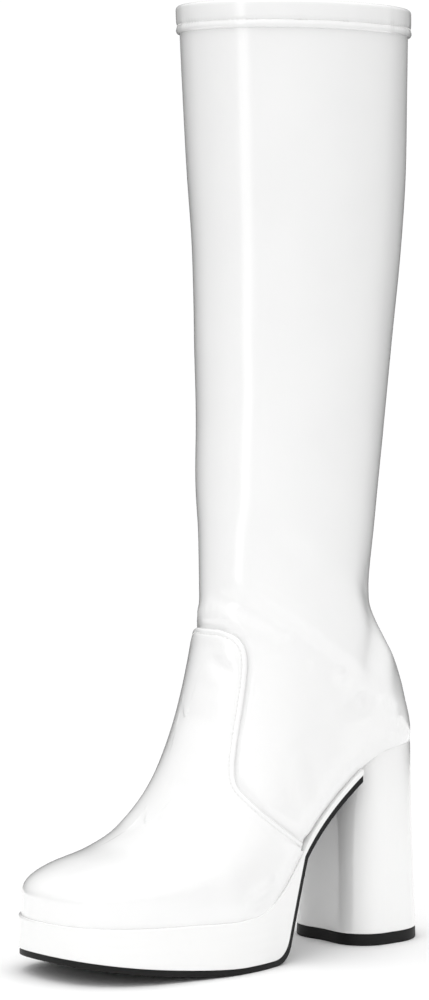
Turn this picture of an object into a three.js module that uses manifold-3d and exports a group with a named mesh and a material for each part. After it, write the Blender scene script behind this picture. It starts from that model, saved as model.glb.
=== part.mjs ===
// A knee-high go go boot: a hollow stretch upper with a vamp lapped over it and a hemmed topline,
// on a wrapped platform and a flared block heel. It is the left boot, standing empty on its sole.
// Millimetres, +Z up, toe towards -Y, outer side of the leg towards +X.
// The origin is the centre of the heel's foot, on the floor.
import * as THREE from "three";
import { mergeVertices } from "three/addons/utils/BufferGeometryUtils.js";
import Module from "manifold-3d";

const wasm = await Module();
wasm.setup();

// Sizes of the foot
const lastLength = 233.5; // toe tip to the back of the heel seat, along the floor
const ballWidth = 90; // widest place of the upper
const seatWidth = 56.5; // heel seat, where the upper meets the heel
const platformHeight = 28; // floor to the feather line at the ball
const heelHeight = 106; // floor to the back of the heel seat
const toeRise = 2; // how far the feather line rises from the ball to the toe tip

// Sizes of the leg
const ankleHeight = 185; // floor to the narrowest place at the back
const ankleDepth = 98;
const ankleWidth = 76;
const ankleSetback = 81; // heel seat's back to the middle of the ankle
const bootHeight = 497.5; // floor to the topline at the shin
const collarDepth = 130;
const collarWidth = 103;
const toplineDip = 0.5; // how far the topline falls from the shin to the back

// Sizes of the layers
const upperWall = 1.8;
const vampThickness = 1.1;
const vampHeight = 173; // floor to the top of the vamp's tab, at the shin
const innerVampShift = 3; // how much further back the vamp's edge sits on the inner side
const hemThickness = 1.2;
const hemHeight = 14; // at the shin
const insoleThickness = 3;
const insoleClearance = 0.5; // insole edge to the upper's inner face
const gap = 0.3; // between pieces that lie on each other

// Sizes of the sole and heel
const platformMargin = 2.6; // how far the platform stands proud of the feather line
const outsoleThickness = 3;
const flapThickness = 2; // outsole on the platform's back and under the waist
const outsoleInset = 0.5; // outsole edge in from the platform's edge
const toeSpring = 10; // lift of the outsole at the toe tip
const springLength = 91; // stretch of the outsole that lifts, back from the toe tip
const treadLength = 123; // toe tip to the foot of the platform's back face
const backLean = 18.5; // platform's back face from upright, in degrees
const backRadius = 14; // bend where the tread turns up into the back face
const rimThickness = 3; // wrapped edge under the waist
const topPieceThickness = 6;
const heelFootLength = 57;
const heelFootWidth = 63;
const heelBackFlare = 3.5; // how far the heel's foot stands behind the heel seat
const heelTopLength = 50.5; // heel seat's back to the top of the breast
const heelTopMargin = 0.4; // heel's top edge outside the feather line
const breastHollow = 2.5; // depth of the curve across the heel's front face, at its foot
const breastCornerRadius = 18;

// Places that follow from the sizes
const seatBackY = heelFootLength / 2 - heelBackFlare;
const toeTipY = seatBackY - lastLength;
const ankleFrontY = seatBackY - ankleSetback - ankleDepth / 2;
const ankleBackY = seatBackY - ankleSetback + ankleDepth / 2;
const breastTopY = seatBackY - heelTopLength;
const beyond = collarWidth; // reach of every cutting shape past the boot
const ballShare = 0.65; // heel seat's back to the ball, as a share of the last's length

// The last's bottom seen from the side: how far it has climbed from the platform to the heel seat
const BOTTOM_CURVE = [
  { along: 0, lift: 1 },
  { along: 0.08, lift: 0.993 },
  { along: 0.143, lift: 0.963 },
  { along: 0.213, lift: 0.88 },
  { along: 0.268, lift: 0.772 },
  { along: 0.321, lift: 0.652 },
  { along: 0.36, lift: 0.55 },
  { along: 0.4, lift: 0.428 },
  { along: 0.44, lift: 0.29 },
  { along: 0.48, lift: 0.168 },
  { along: 0.52, lift: 0.082 },
  { along: 0.57, lift: 0.02 },
  { along: 0.63, lift: 0 },
  { along: 0.75, lift: 0 },
];

// The last's bottom seen from below: middle line and half width, before its two round ends
const PLAN_CURVE = [
  { along: 0, middle: 0, spread: 0 },
  { along: 0.12, middle: 0, spread: 0 },
  { along: 0.2, middle: 0.004, spread: 0 },
  { along: 0.3, middle: 0.022, spread: -0.02 },
  { along: 0.4, middle: 0.033, spread: 0.07 },
  { along: 0.5, middle: 0.032, spread: 0.42 },
  { along: 0.58, middle: 0.024, spread: 0.76 },
  { along: 0.65, middle: 0.015, spread: 0.915 },
  { along: 0.72, middle: -0.004, spread: 0.96 },
  { along: 0.8, middle: -0.03, spread: 0.935 },
  { along: 0.9, middle: -0.062, spread: 0.93 },
  { along: 1, middle: -0.085, spread: 0.92 },
];

// The round ends: the share of the length where each begins, and the powers of its rounding seen from
// above, over the toe's crown and up its wall
const heelEnd = { from: 0.12, power: 2.1 };
const toeEnd = { from: 0.8, planPower: 2.5, crownPower: 2.6, wallPower: 8 };

// Sections of the foot, from the toe tip back to the heel seat. bottom: where the section crosses the
// last's bottom. instep and top: its upper end, from the ankle forward and from the platform up.
// width: from the ankle's to the ball's. widest: height of the widest place within the section.
const FOOT_SECTIONS = [
  { bottom: 1, instep: 1, top: 0.16, width: 0.81, ridge: -0.065, widest: 0.45, crown: 2.3, side: 5 },
  { bottom: 0.9, instep: 0.772, top: 0.185, width: 0.875, ridge: -0.058, widest: 0.44, crown: 2.3, side: 5 },
  { bottom: 0.8, instep: 0.544, top: 0.22, width: 0.94, ridge: -0.054, widest: 0.42, crown: 2.2, side: 5 },
  { bottom: 0.72, instep: 0.383, top: 0.275, width: 1, ridge: -0.054, widest: 0.39, crown: 2.1, side: 5 },
  { bottom: 0.65, instep: 0.3, top: 0.335, width: 0.975, ridge: -0.054, widest: 0.36, crown: 2.05, side: 5 },
  { bottom: 0.58, instep: 0.24, top: 0.4, width: 0.69, ridge: -0.054, widest: 0.35, crown: 2, side: 4.6 },
  { bottom: 0.5, instep: 0.185, top: 0.478, width: 0.25, ridge: -0.052, widest: 0.36, crown: 2, side: 4 },
  { bottom: 0.42, instep: 0.138, top: 0.557, width: -0.06, ridge: -0.048, widest: 0.39, crown: 2, side: 3.6 },
  { bottom: 0.34, instep: 0.098, top: 0.643, width: -0.2, ridge: -0.042, widest: 0.42, crown: 2, side: 3.3 },
  { bottom: 0.26, instep: 0.066, top: 0.732, width: -0.22, ridge: -0.035, widest: 0.45, crown: 2, side: 3 },
  { bottom: 0.18, instep: 0.04, top: 0.822, width: -0.17, ridge: -0.027, widest: 0.48, crown: 2, side: 2.8 },
  { bottom: 0.1, instep: 0.02, top: 0.911, width: -0.1, ridge: -0.02, widest: 0.5, crown: 2, side: 2.7 },
  { bottom: 0.04, instep: 0.008, top: 0.981, width: -0.05, ridge: -0.015, widest: 0.52, crown: 2, side: 2.5 },
  { bottom: 0, instep: 0, top: 1.019, width: 0, ridge: -0.012, widest: 0.53, crown: 2, side: 2.4 },
];

// Sections of the leg, from the heel seat up to the topline. back and top: heights of the section's two
// ends, 0 at the heel seat or platform, 1 at the ankle and 2 at the topline. heel: share of the heel's
// overhang behind the ankle. calf and shin: shares of the flare from the ankle's depth to the collar's.
const LEG_SECTIONS = [
  { back: 0.089, heel: 0.985, calf: 0, top: 1.045, shin: 0, width: 0, widest: 0.53, side: 2.35 },
  { back: 0.215, heel: 0.9, calf: 0, top: 1.074, shin: 0, width: 0, widest: 0.53, side: 2.3 },
  { back: 0.342, heel: 0.81, calf: 0, top: 1.1, shin: 0, width: 0, widest: 0.53, side: 2.25 },
  { back: 0.456, heel: 0.69, calf: 0, top: 1.126, shin: 0, width: 0.01, widest: 0.525, side: 2.2 },
  { back: 0.582, heel: 0.475, calf: 0, top: 1.152, shin: 0, width: 0.02, widest: 0.52, side: 2.15 },
  { back: 0.734, heel: 0.225, calf: 0, top: 1.181, shin: 0, width: 0.05, widest: 0.52, side: 2.1 },
  { back: 0.886, heel: 0.035, calf: 0, top: 1.21, shin: 0, width: 0.09, widest: 0.515, side: 2.1 },
  { back: 1.003, heel: 0, calf: 0, top: 1.239, shin: 0, width: 0.125, widest: 0.51, side: 2.1 },
  { back: 1.045, heel: 0, calf: 0.03, top: 1.271, shin: -0.01, width: 0.165, widest: 0.51, side: 2.1 },
  { back: 1.097, heel: 0, calf: 0.091, top: 1.31, shin: -0.02, width: 0.21, widest: 0.505, side: 2.1 },
  { back: 1.165, heel: 0, calf: 0.162, top: 1.355, shin: -0.02, width: 0.27, widest: 0.5, side: 2.1 },
  { back: 1.306, heel: 0, calf: 0.324, top: 1.439, shin: 0.01, width: 0.4, widest: 0.5, side: 2.1 },
  { back: 1.445, heel: 0, calf: 0.476, top: 1.526, shin: 0.018, width: 0.55, widest: 0.5, side: 2.1 },
  { back: 1.584, heel: 0, calf: 0.635, top: 1.623, shin: 0.05, width: 0.69, widest: 0.5, side: 2.1 },
  { back: 1.703, heel: 0, calf: 0.715, top: 1.723, shin: 0.12, width: 0.84, widest: 0.5, side: 2.1 },
  { back: 1.861, heel: 0, calf: 0.735, top: 1.868, shin: 0.2, width: 0.93, widest: 0.5, side: 2.1 },
  { back: 2, heel: 0, calf: 0.744, top: 2, shin: 0.268, width: 1, widest: 0.5, side: 2.1 },
];

// Smooth curve through one column of a table whose key column rises from row to row
function follow(rows, key, column, at) {
  const last = rows.length - 1;
  const x = THREE.MathUtils.clamp(at, rows[0][key], rows[last][key]);
  let i = 0;
  while (i < last - 1 && rows[i + 1][key] < x) i += 1;
  const step = (k) => rows[k + 1][key] - rows[k][key];
  const rise = (k) => (rows[k + 1][column] - rows[k][column]) / step(k);
  const slope = (k) => {
    if (k === 0) return rise(0);
    if (k === last) return rise(last - 1);
    return (rise(k) * step(k - 1) + rise(k - 1) * step(k)) / (step(k) + step(k - 1));
  };
  const h = step(i);
  const u = (x - rows[i][key]) / h;
  const [u2, u3] = [u * u, u * u * u];
  return (
    rows[i][column] * (2 * u3 - 3 * u2 + 1) +
    rows[i + 1][column] * (3 * u2 - 2 * u3) +
    h * slope(i) * (u3 - 2 * u2 + u) +
    h * slope(i + 1) * (u3 - u2)
  );
}

const alongY = (share) => seatBackY - share * lastLength;
const roundEnd = (u, power) => Math.pow(Math.max(0, 1 - Math.pow(u, power)), 1 / power);

// Height of the last's bottom, which is also the height of the feather line
function bottomHeight(share) {
  const lift = follow(BOTTOM_CURVE, "along", "lift", share);
  const pastBall = Math.max(0, (share - ballShare) / (1 - ballShare));
  return platformHeight + lift * (heelHeight - platformHeight) + toeRise * pastBall;
}

// Middle and half width of the feather line at a share of the last's length
function featherLine(share) {
  const spread = follow(PLAN_CURVE, "along", "spread", share);
  const middle = follow(PLAN_CURVE, "along", "middle", share) * ballWidth;
  const toeShare = Math.max(0, (share - toeEnd.from) / (1 - toeEnd.from));
  const heelShare = Math.max(0, 1 - share / heelEnd.from);
  const ends = roundEnd(toeShare, toeEnd.planPower) * roundEnd(heelShare, heelEnd.power);
  const half = (seatWidth + spread * (ballWidth - seatWidth)) / 2;
  return { middle, half: half * ends, toeShare };
}

// Height on the leg: 0 is the given foot height, 1 the ankle and 2 the topline
function rung(footHeight, step) {
  if (step < 1) return footHeight + step * (ankleHeight - footHeight);
  return ankleHeight + (step - 1) * (bootHeight - ankleHeight);
}

// The rows above as places in millimetres. at runs from 0 at the toe tip, through 1 at the back of the
// heel seat, to 2 at the topline.
const flare = collarDepth - ankleDepth;
const legCrown = 2.1; // power of every leg section's front half
const SECTIONS = [
  ...FOOT_SECTIONS.map((row) => ({
    at: 1 - row.bottom,
    topY: ankleFrontY - row.instep * (ankleFrontY - toeTipY),
    topZ: rung(platformHeight, row.top),
    backY: alongY(row.bottom),
    backZ: bottomHeight(row.bottom),
    half: (ankleWidth + row.width * (ballWidth - ankleWidth)) / 2,
    ridge: row.ridge * ballWidth,
    widest: row.widest,
    crown: row.crown,
    side: row.side,
  })),
  ...LEG_SECTIONS.map((row) => ({
    at: 1 + (rung(heelHeight, row.back) - heelHeight) / (bootHeight - heelHeight),
    topY: ankleFrontY - row.shin * flare,
    topZ: rung(platformHeight, row.top),
    backY: ankleBackY + row.heel * (seatBackY - ankleBackY) + row.calf * flare,
    backZ: rung(heelHeight, row.back),
    half: (ankleWidth + row.width * (collarWidth - ankleWidth)) / 2,
    ridge: 0,
    widest: row.widest,
    crown: legCrown,
    side: row.side,
  })),
];
const SECTION_FIELDS = ["topY", "topZ", "backY", "backZ", "half", "ridge", "widest", "crown", "side"];

// One section of the upper, with the feather line that it has to pass through
const fullestTuck = 0.985; // feather line's half width against the section's, where the side is upright
function sectionAt(at) {
  const row = Object.fromEntries(SECTION_FIELDS.map((f) => [f, follow(SECTIONS, "at", f, at)]));
  const foot = at < 1;
  const share = Math.max(0, 1 - at);
  const feather = featherLine(share);
  if (foot) {
    row.backY = alongY(share);
    row.backZ = bottomHeight(share);
  }
  const [dy, dz] = [row.topY - row.backY, row.topZ - row.backZ];
  const height = Math.hypot(dy, dz);
  const waist = row.widest * height;
  const planEnd = roundEnd(feather.toeShare, toeEnd.planPower);
  const half = row.half * planEnd;
  const tuck = foot && half > 0 ? Math.min(fullestTuck, feather.half / half) : 0;
  const drop = waist * (Math.pow(1 - Math.pow(tuck, row.side), -1 / row.side) - 1);
  return {
    ...row,
    half,
    waist,
    middle: foot ? feather.middle : 0,
    up: [dy / height, dz / height],
    height,
    rise: (height - waist) * roundEnd(feather.toeShare, toeEnd.crownPower),
    fall: (waist + drop) * roundEnd(feather.toeShare, toeEnd.wallPower),
  };
}

// A place on a section: angle 0 is its upper end, a quarter turn its outer side, a half turn its lower end
function placeOn(section, angle) {
  const [s, c] = [Math.sin(angle), Math.cos(angle)];
  const power = 2 / (c >= 0 ? section.crown : section.side);
  const across = Math.sign(s) * Math.pow(Math.abs(s), power) * section.half;
  const reach = Math.pow(Math.abs(c), power) * (c >= 0 ? section.rise : -section.fall);
  const v = section.waist + reach;
  const lean = THREE.MathUtils.clamp(v / section.height, 0, 1);
  return new THREE.Vector3(
    THREE.MathUtils.lerp(section.middle, section.ridge, lean) + across,
    section.backY + v * section.up[0],
    section.backZ + v * section.up[1],
  );
}

// Stations from just behind the toe tip to the topline: close together where the toe turns
const CAP_ANGLES = [86, 80, 72, 63, 53, 42, 30, 16];
const footStations = 17;
const stations = [
  ...CAP_ANGLES.map((a) => (1 - toeEnd.from) * (1 - Math.sin(THREE.MathUtils.degToRad(a)))),
  ...Array.from({ length: footStations }, (_, i) => 1 - toeEnd.from * (1 - i / footStations)),
  ...SECTIONS.filter((s) => s.at >= 1).map((s) => s.at),
];
const SEGMENTS = 28;

// A closed mesh of rings of equal length, with a fan on the first and the last ring's end points
function lofted(rings, firstEnd, lastEnd) {
  const n = rings[0].length;
  const points = [...rings.flat(), firstEnd, lastEnd];
  const index = [];
  for (let r = 0; r + 1 < rings.length; r += 1) {
    for (let j = 0; j < n; j += 1) {
      const [a, b] = [r * n + j, r * n + ((j + 1) % n)];
      index.push(a, b, b + n, a, b + n, a + n);
    }
  }
  const [first, last, top] = [points.length - 2, points.length - 1, (rings.length - 1) * n];
  for (let j = 0; j < n; j += 1) {
    const k = (j + 1) % n;
    index.push(first, k, j, last, top + j, top + k);
  }
  return new THREE.BufferGeometry().setFromPoints(points).setIndex(index);
}

// The upper's outer face moved out by a distance, as a closed form that reaches above the topline
const [angleStep, atStep] = [0.02, 0.0015]; // small steps along the face, to find which way it looks
function upperForm(offset, raised) {
  const rings = stations.map((at) => {
    const here = sectionAt(at);
    const [before, after] = [sectionAt(at - atStep), sectionAt(at + atStep)];
    return Array.from({ length: SEGMENTS }, (_, j) => {
      const angle = (j / SEGMENTS) * 2 * Math.PI;
      const round = placeOn(here, angle + angleStep).sub(placeOn(here, angle - angleStep));
      const along = placeOn(after, angle).sub(placeOn(before, angle));
      const normal = round.cross(along).normalize();
      return placeOn(here, angle).addScaledVector(normal, offset);
    });
  });
  const rim = rings.at(-1).map((p) => new THREE.Vector3(p.x, p.y, bootHeight + raised));
  const tip = placeOn(sectionAt(0), Math.PI / 2).add(new THREE.Vector3(0, -offset, 0));
  const lid = new THREE.Vector3(0, (ankleFrontY + ankleBackY) / 2, bootHeight + raised);
  return solid(lofted([...rings, rim], tip, lid));
}

// A three.js geometry as a solid that can be joined and cut
function solid(geometry) {
  const bare = geometry.index ? geometry.toNonIndexed() : geometry.clone();
  const plain = new THREE.BufferGeometry().setAttribute("position", bare.getAttribute("position"));
  const merged = mergeVertices(plain, 1e-4);
  const mesh = new wasm.Mesh({
    numProp: 3,
    vertProperties: merged.attributes.position.array,
    triVerts: new Uint32Array(merged.index.array),
  });
  return new wasm.Manifold(mesh);
}

// A flat outline as a solid: its first coordinate runs along one axis, its second along another, and its
// depth along the third, past the boot on both sides
function prism(points, firstAxis, secondAxis) {
  const shape = new THREE.Shape(points.map(([a, b]) => new THREE.Vector2(a, b)));
  const depth = 2 * (bootHeight + beyond);
  const geometry = new THREE.ExtrudeGeometry(shape, { depth, bevelEnabled: false });
  geometry.translate(0, 0, -depth / 2);
  const depthAxis = new THREE.Vector3().crossVectors(firstAxis, secondAxis);
  return solid(geometry.applyMatrix4(new THREE.Matrix4().makeBasis(firstAxis, secondAxis, depthAxis)));
}

const [X, Y, Z] = [new THREE.Vector3(1, 0, 0), new THREE.Vector3(0, 1, 0), new THREE.Vector3(0, 0, 1)];
const planCut = (points) => prism(points, X, Y);
const sideCut = (points) => prism(points, Y, Z);

// The feather line moved out by a distance, as [x, y] points round the whole last
const outlineSteps = 84;
const turnStep = 0.002;
function featherOutline(offset) {
  // turn runs from the heel's back along the outer side to the toe tip, and back along the inner side
  const place = (turn) => {
    const share = (1 - Math.cos(turn * 2 * Math.PI)) / 2;
    const { middle, half } = featherLine(share);
    return new THREE.Vector2(middle + (turn > 0.5 ? -half : half), alongY(share));
  };
  return Array.from({ length: outlineSteps }, (_, i) => {
    const turn = i / outlineSteps;
    const tangent = place((turn + turnStep) % 1).sub(place((turn - turnStep + 1) % 1)).normalize();
    const p = place(turn);
    return [p.x - tangent.y * offset, p.y + tangent.x * offset];
  });
}

// Points of the last's bottom line from past the toe to behind the heel seat, lowered square to the line
const bottomSteps = 44;
const shareStep = 0.004;
const overrun = 0.1; // how far the line runs on past both ends, as a share of the last's length
function bottomLine(lowered) {
  return Array.from({ length: bottomSteps + 1 }, (_, i) => {
    const share = THREE.MathUtils.lerp(1 + overrun, -overrun, i / bottomSteps);
    const rise = bottomHeight(share - shareStep) - bottomHeight(share + shareStep);
    const run = 2 * shareStep * lastLength;
    const slant = Math.hypot(rise, run);
    return [alongY(share) + (lowered * rise) / slant, bottomHeight(share) - (lowered * run) / slant];
  });
}

// Everything between the last's bottom line lowered by one distance and the same line lowered by another
function bottomLayer(upperDrop, lowerDrop) {
  return sideCut([...bottomLine(upperDrop), ...bottomLine(lowerDrop).reverse()]);
}

// Everything under the last's bottom line, lowered by a distance
function underFeather(lowered) {
  const line = bottomLine(lowered);
  return sideCut([...line, [line.at(-1)[0], -beyond], [line[0][0], -beyond]]);
}

// The tread seen from the side, up its back face, as everything above and in front of it. floor and back:
// how far the form is held in from the outsole's underside.
const springSteps = 10;
const springPower = 1.5; // how late the toe spring sets in
const bendSteps = 7;
function treadForm(floor, back) {
  const [toeY, bendY] = [toeTipY - platformMargin, toeTipY + treadLength];
  const lean = THREE.MathUtils.degToRad(backLean);
  const line = Array.from({ length: springSteps + 1 }, (_, i) => {
    const u = 1 - i / springSteps;
    return [toeY + (1 - u) * springLength, floor + toeSpring * Math.pow(u, springPower)];
  });
  const faceAt = (z) => bendY - back / Math.cos(lean) + z * Math.tan(lean);
  const tangent = backRadius * Math.tan((Math.PI / 2 - lean) / 2);
  const corner = new THREE.Vector2(faceAt(floor), floor);
  const bend = new THREE.QuadraticBezierCurve(
    new THREE.Vector2(corner.x - tangent, floor),
    corner,
    new THREE.Vector2(corner.x + tangent * Math.sin(lean), corner.y + tangent * Math.cos(lean)),
  );
  const round = bend.getPoints(bendSteps).map((p) => [p.x, p.y]);
  return sideCut([
    ...line,
    ...round,
    [faceAt(heelHeight), heelHeight],
    [toeY - beyond, heelHeight],
    [toeY - beyond, line[0][1]],
  ]);
}

// Front of the heel at a height, as a share of the way from its foot to the heel seat's height
const breastAt = (t) => THREE.MathUtils.lerp(-heelFootLength / 2, breastTopY, t);

// Everything in front of the heel's breast, held off by a distance
function beforeBreast(clearance) {
  const [low, high] = [-1, 2];
  const at = (t) => [breastAt(t) - clearance, t * heelHeight];
  const front = toeTipY - beyond;
  return sideCut([[front, low * heelHeight], at(low), at(high), [front, high * heelHeight]]);
}

// Everything above a height at the shin that falls by a distance on its way to the back
function above(height, fall) {
  const [front, back] = [ankleFrontY - flare, ankleBackY + flare];
  const high = bootHeight + beyond;
  return sideCut([[front, height], [back, height - fall], [back, high], [front, high]]);
}

// Everything above the topline
const overTopline = () => above(bootHeight, toplineDip);

// Edge of the vamp, seen from between front and side: along the top of its tab, down beside the shin, and
// back to the waist. back: from the shin's front, in half ball widths. up: from the platform to the top.
const VAMP_EDGE = [
  { back: 0.1, up: 1 },
  { back: 0.285, up: 0.98 },
  { back: 0.39, up: 0.945 },
  { back: 0.43, up: 0.89 },
  { back: 0.42, up: 0.82 },
  { back: 0.38, up: 0.72 },
  { back: 0.33, up: 0.61 },
  { back: 0.305, up: 0.53 },
  { back: 0.315, up: 0.48 },
  { back: 0.36, up: 0.445 },
  { back: 0.48, up: 0.405 },
  { back: 0.63, up: 0.36 },
  { back: 0.8, up: 0.312 },
  { back: 1.01, up: 0.252 },
  { back: 1.2, up: 0.185 },
];

// Everything within the vamp's edge, seen from between front and side on both sides of the foot. The inner
// side's edge sits a little further round, as the foot does.
const vampEdgeSteps = 60;
function vampReach() {
  const front = ankleFrontY * Math.SQRT1_2;
  const seenFrom = (side, shift) => {
    const rows = VAMP_EDGE.map(({ back, up }) => {
      return new THREE.Vector2(
        front + shift + (back * ballWidth) / 2,
        THREE.MathUtils.lerp(platformHeight, vampHeight, up),
      );
    });
    const edge = new THREE.SplineCurve(rows).getPoints(vampEdgeSteps).map((p) => [p.x, p.y]);
    const across = new THREE.Vector3(side, 1, 0).normalize();
    const far = toeTipY - beyond;
    return prism([[far, vampHeight], ...edge, [edge.at(-1)[0], -beyond], [far, -beyond]], across, Z);
  };
  return seenFrom(1, 0).intersect(seenFrom(-1, innerVampShift));
}

// The upper: open at the topline, and underneath where the platform and the heel close it
const overTop = beyond / 4; // how far an inner form stands up out of the outer one
function makeUpper() {
  const outer = upperForm(0, 0);
  const inner = upperForm(-upperWall, overTop);
  return outer.subtract(inner).subtract(underFeather(0)).subtract(overTopline());
}

// The vamp: a second layer over the foot, up to a tab on the shin
function makeVamp() {
  const outer = upperForm(gap + vampThickness, 0);
  const inner = upperForm(gap, overTop);
  return outer.subtract(inner).intersect(vampReach()).subtract(underFeather(0));
}

// The folded hem round the topline
function makeHem() {
  const outer = upperForm(gap + hemThickness, 0);
  const inner = upperForm(gap, overTop);
  return outer.subtract(inner).intersect(above(bootHeight - hemHeight, 0)).subtract(overTopline());
}

// The stiff board inside, on the platform and the heel seat
function makeInsole() {
  return upperForm(-upperWall - insoleClearance, 0).intersect(bottomLayer(-insoleThickness, 0));
}

// The wrapped platform, with its edge carried on under the waist to the heel
function makePlatform() {
  const outline = planCut(featherOutline(platformMargin));
  const sole = treadForm(outsoleThickness + gap, flapThickness + gap);
  const rim = bottomLayer(0, rimThickness);
  return sole.add(rim).intersect(outline).intersect(underFeather(gap)).intersect(beforeBreast(gap));
}

// The outsole: the tread, carried up the platform's back face and on under the waist
function makeOutsole() {
  const outline = planCut(featherOutline(platformMargin - outsoleInset));
  const whole = treadForm(0, 0).add(bottomLayer(0, rimThickness + gap + flapThickness));
  const kept = bottomLayer(-outsoleThickness, rimThickness + gap);
  const inside = treadForm(outsoleThickness, flapThickness).add(kept);
  return whole.subtract(inside).intersect(outline).intersect(beforeBreast(gap)).intersect(underFeather(gap));
}

// The heel's outline at a height: a round back, straight sides and a slightly hollow breast
const [sideSteps, cornerSteps, hollowSteps] = [10, 4, 8];
function heelOutline(z) {
  const t = z / heelHeight;
  const half = THREE.MathUtils.lerp(heelFootWidth, seatWidth + 2 * heelTopMargin, t) / 2;
  const back = THREE.MathUtils.lerp(heelFootLength / 2, seatBackY + heelTopMargin, t);
  const front = breastAt(t);
  const roundLength = heelEnd.from * lastLength;
  const side = Array.from({ length: sideSteps + 1 }, (_, i) => {
    const u = Math.sin(((1 - i / sideSteps) * Math.PI) / 2);
    return [half * roundEnd(u, heelEnd.power), back - roundLength * (1 - u)];
  });
  const corner = Array.from({ length: cornerSteps + 1 }, (_, i) => {
    const a = (i / cornerSteps) * (Math.PI / 2);
    const [x, y] = [half - breastCornerRadius, front + breastCornerRadius];
    return [x + breastCornerRadius * Math.cos(a), y - breastCornerRadius * Math.sin(a)];
  });
  const reach = half - breastCornerRadius;
  const hollow = Array.from({ length: hollowSteps - 1 }, (_, i) => {
    const u = 1 - (2 * (i + 1)) / hollowSteps;
    return [u * reach, front + breastHollow * Math.max(0, 1 - t) * (1 - u * u)];
  });
  const outer = [...side, ...corner];
  const inner = outer.slice(1).reverse().map(([x, y]) => [-x, y]);
  return [...outer, ...hollow, ...inner].map(([x, y]) => new THREE.Vector3(x, y, z));
}

// The heel between two heights
function heelForm(from, to) {
  const rings = [heelOutline(from), heelOutline(to)];
  const centre = (z) => new THREE.Vector3(0, 0, z);
  return solid(lofted(rings.map((ring) => ring.reverse()), centre(from), centre(to)));
}

// The wrapped block heel, cut to the underside of the heel seat
function makeHeel() {
  return heelForm(topPieceThickness + gap, heelHeight + overTop).intersect(underFeather(gap));
}

// The black piece under the heel
function makeTopPiece() {
  return heelForm(0, topPieceThickness);
}

// A made solid as a named mesh
function mesh(name, made, material) {
  const found = made.getMesh();
  const geometry = new THREE.BufferGeometry();
  const position = new Float32Array(found.numVert * 3);
  for (let i = 0; i < found.numVert; i += 1) {
    position.set(found.vertProperties.subarray(i * found.numProp, i * found.numProp + 3), i * 3);
  }
  geometry.setAttribute("position", new THREE.BufferAttribute(position, 3));
  geometry.setIndex(new THREE.BufferAttribute(found.triVerts, 1));
  geometry.computeVertexNormals();
  const piece = new THREE.Mesh(geometry, material);
  piece.name = name;
  return piece;
}

const whitePatent = new THREE.MeshStandardMaterial({ color: 0xf3f3f1, roughness: 0.22, metalness: 0 });
const whiteWrap = new THREE.MeshStandardMaterial({ color: 0xf0f0ee, roughness: 0.28, metalness: 0 });
const blackRubber = new THREE.MeshStandardMaterial({ color: 0x141414, roughness: 0.6, metalness: 0 });
const insoleBoard = new THREE.MeshStandardMaterial({ color: 0xe6e2da, roughness: 0.8, metalness: 0 });

const boot = new THREE.Group();
boot.add(
  mesh("upper", makeUpper(), whitePatent),
  mesh("vamp", makeVamp(), whitePatent),
  mesh("collar_hem", makeHem(), whitePatent),
  mesh("insole", makeInsole(), insoleBoard),
  mesh("platform", makePlatform(), whiteWrap),
  mesh("outsole", makeOutsole(), blackRubber),
  mesh("heel_block", makeHeel(), whiteWrap),
  mesh("heel_top_piece", makeTopPiece(), blackRubber),
);

export default boot;
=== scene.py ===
"""A white knee-high go go boot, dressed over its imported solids.

Metres, +Z up, toe towards -Y, outer side +X.
"""
import logging
import math
from dataclasses import dataclass, field
from enum import Enum
from typing import Callable, Sequence

import bpy
import numpy as np
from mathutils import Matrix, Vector


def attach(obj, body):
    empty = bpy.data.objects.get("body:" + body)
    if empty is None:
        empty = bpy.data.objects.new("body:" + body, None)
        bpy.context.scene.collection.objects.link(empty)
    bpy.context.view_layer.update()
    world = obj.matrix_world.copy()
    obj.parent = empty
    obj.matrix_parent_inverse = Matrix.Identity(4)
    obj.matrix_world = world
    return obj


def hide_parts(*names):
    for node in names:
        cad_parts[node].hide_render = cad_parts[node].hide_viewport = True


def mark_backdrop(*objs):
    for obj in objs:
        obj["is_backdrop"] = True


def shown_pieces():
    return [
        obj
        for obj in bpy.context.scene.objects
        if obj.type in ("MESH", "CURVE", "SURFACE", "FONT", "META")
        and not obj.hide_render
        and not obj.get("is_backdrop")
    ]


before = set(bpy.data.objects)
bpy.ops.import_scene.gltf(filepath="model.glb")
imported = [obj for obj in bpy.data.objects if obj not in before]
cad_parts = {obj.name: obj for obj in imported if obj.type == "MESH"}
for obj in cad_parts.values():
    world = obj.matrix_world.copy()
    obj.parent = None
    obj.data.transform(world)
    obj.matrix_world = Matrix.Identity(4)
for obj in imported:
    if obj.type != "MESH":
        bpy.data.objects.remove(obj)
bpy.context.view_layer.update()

logging.basicConfig(level=logging.INFO, format="%(message)s")
log = logging.getLogger("boot")
Array = np.ndarray
Faces = Sequence[Sequence[int]]

# where the nets over the last begin, and how far their closing tip lies ahead of the first ring
NET_START = 0.0004
TIP_AHEAD = np.array([0, 0.0002, 0])


# Curves and tables


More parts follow.
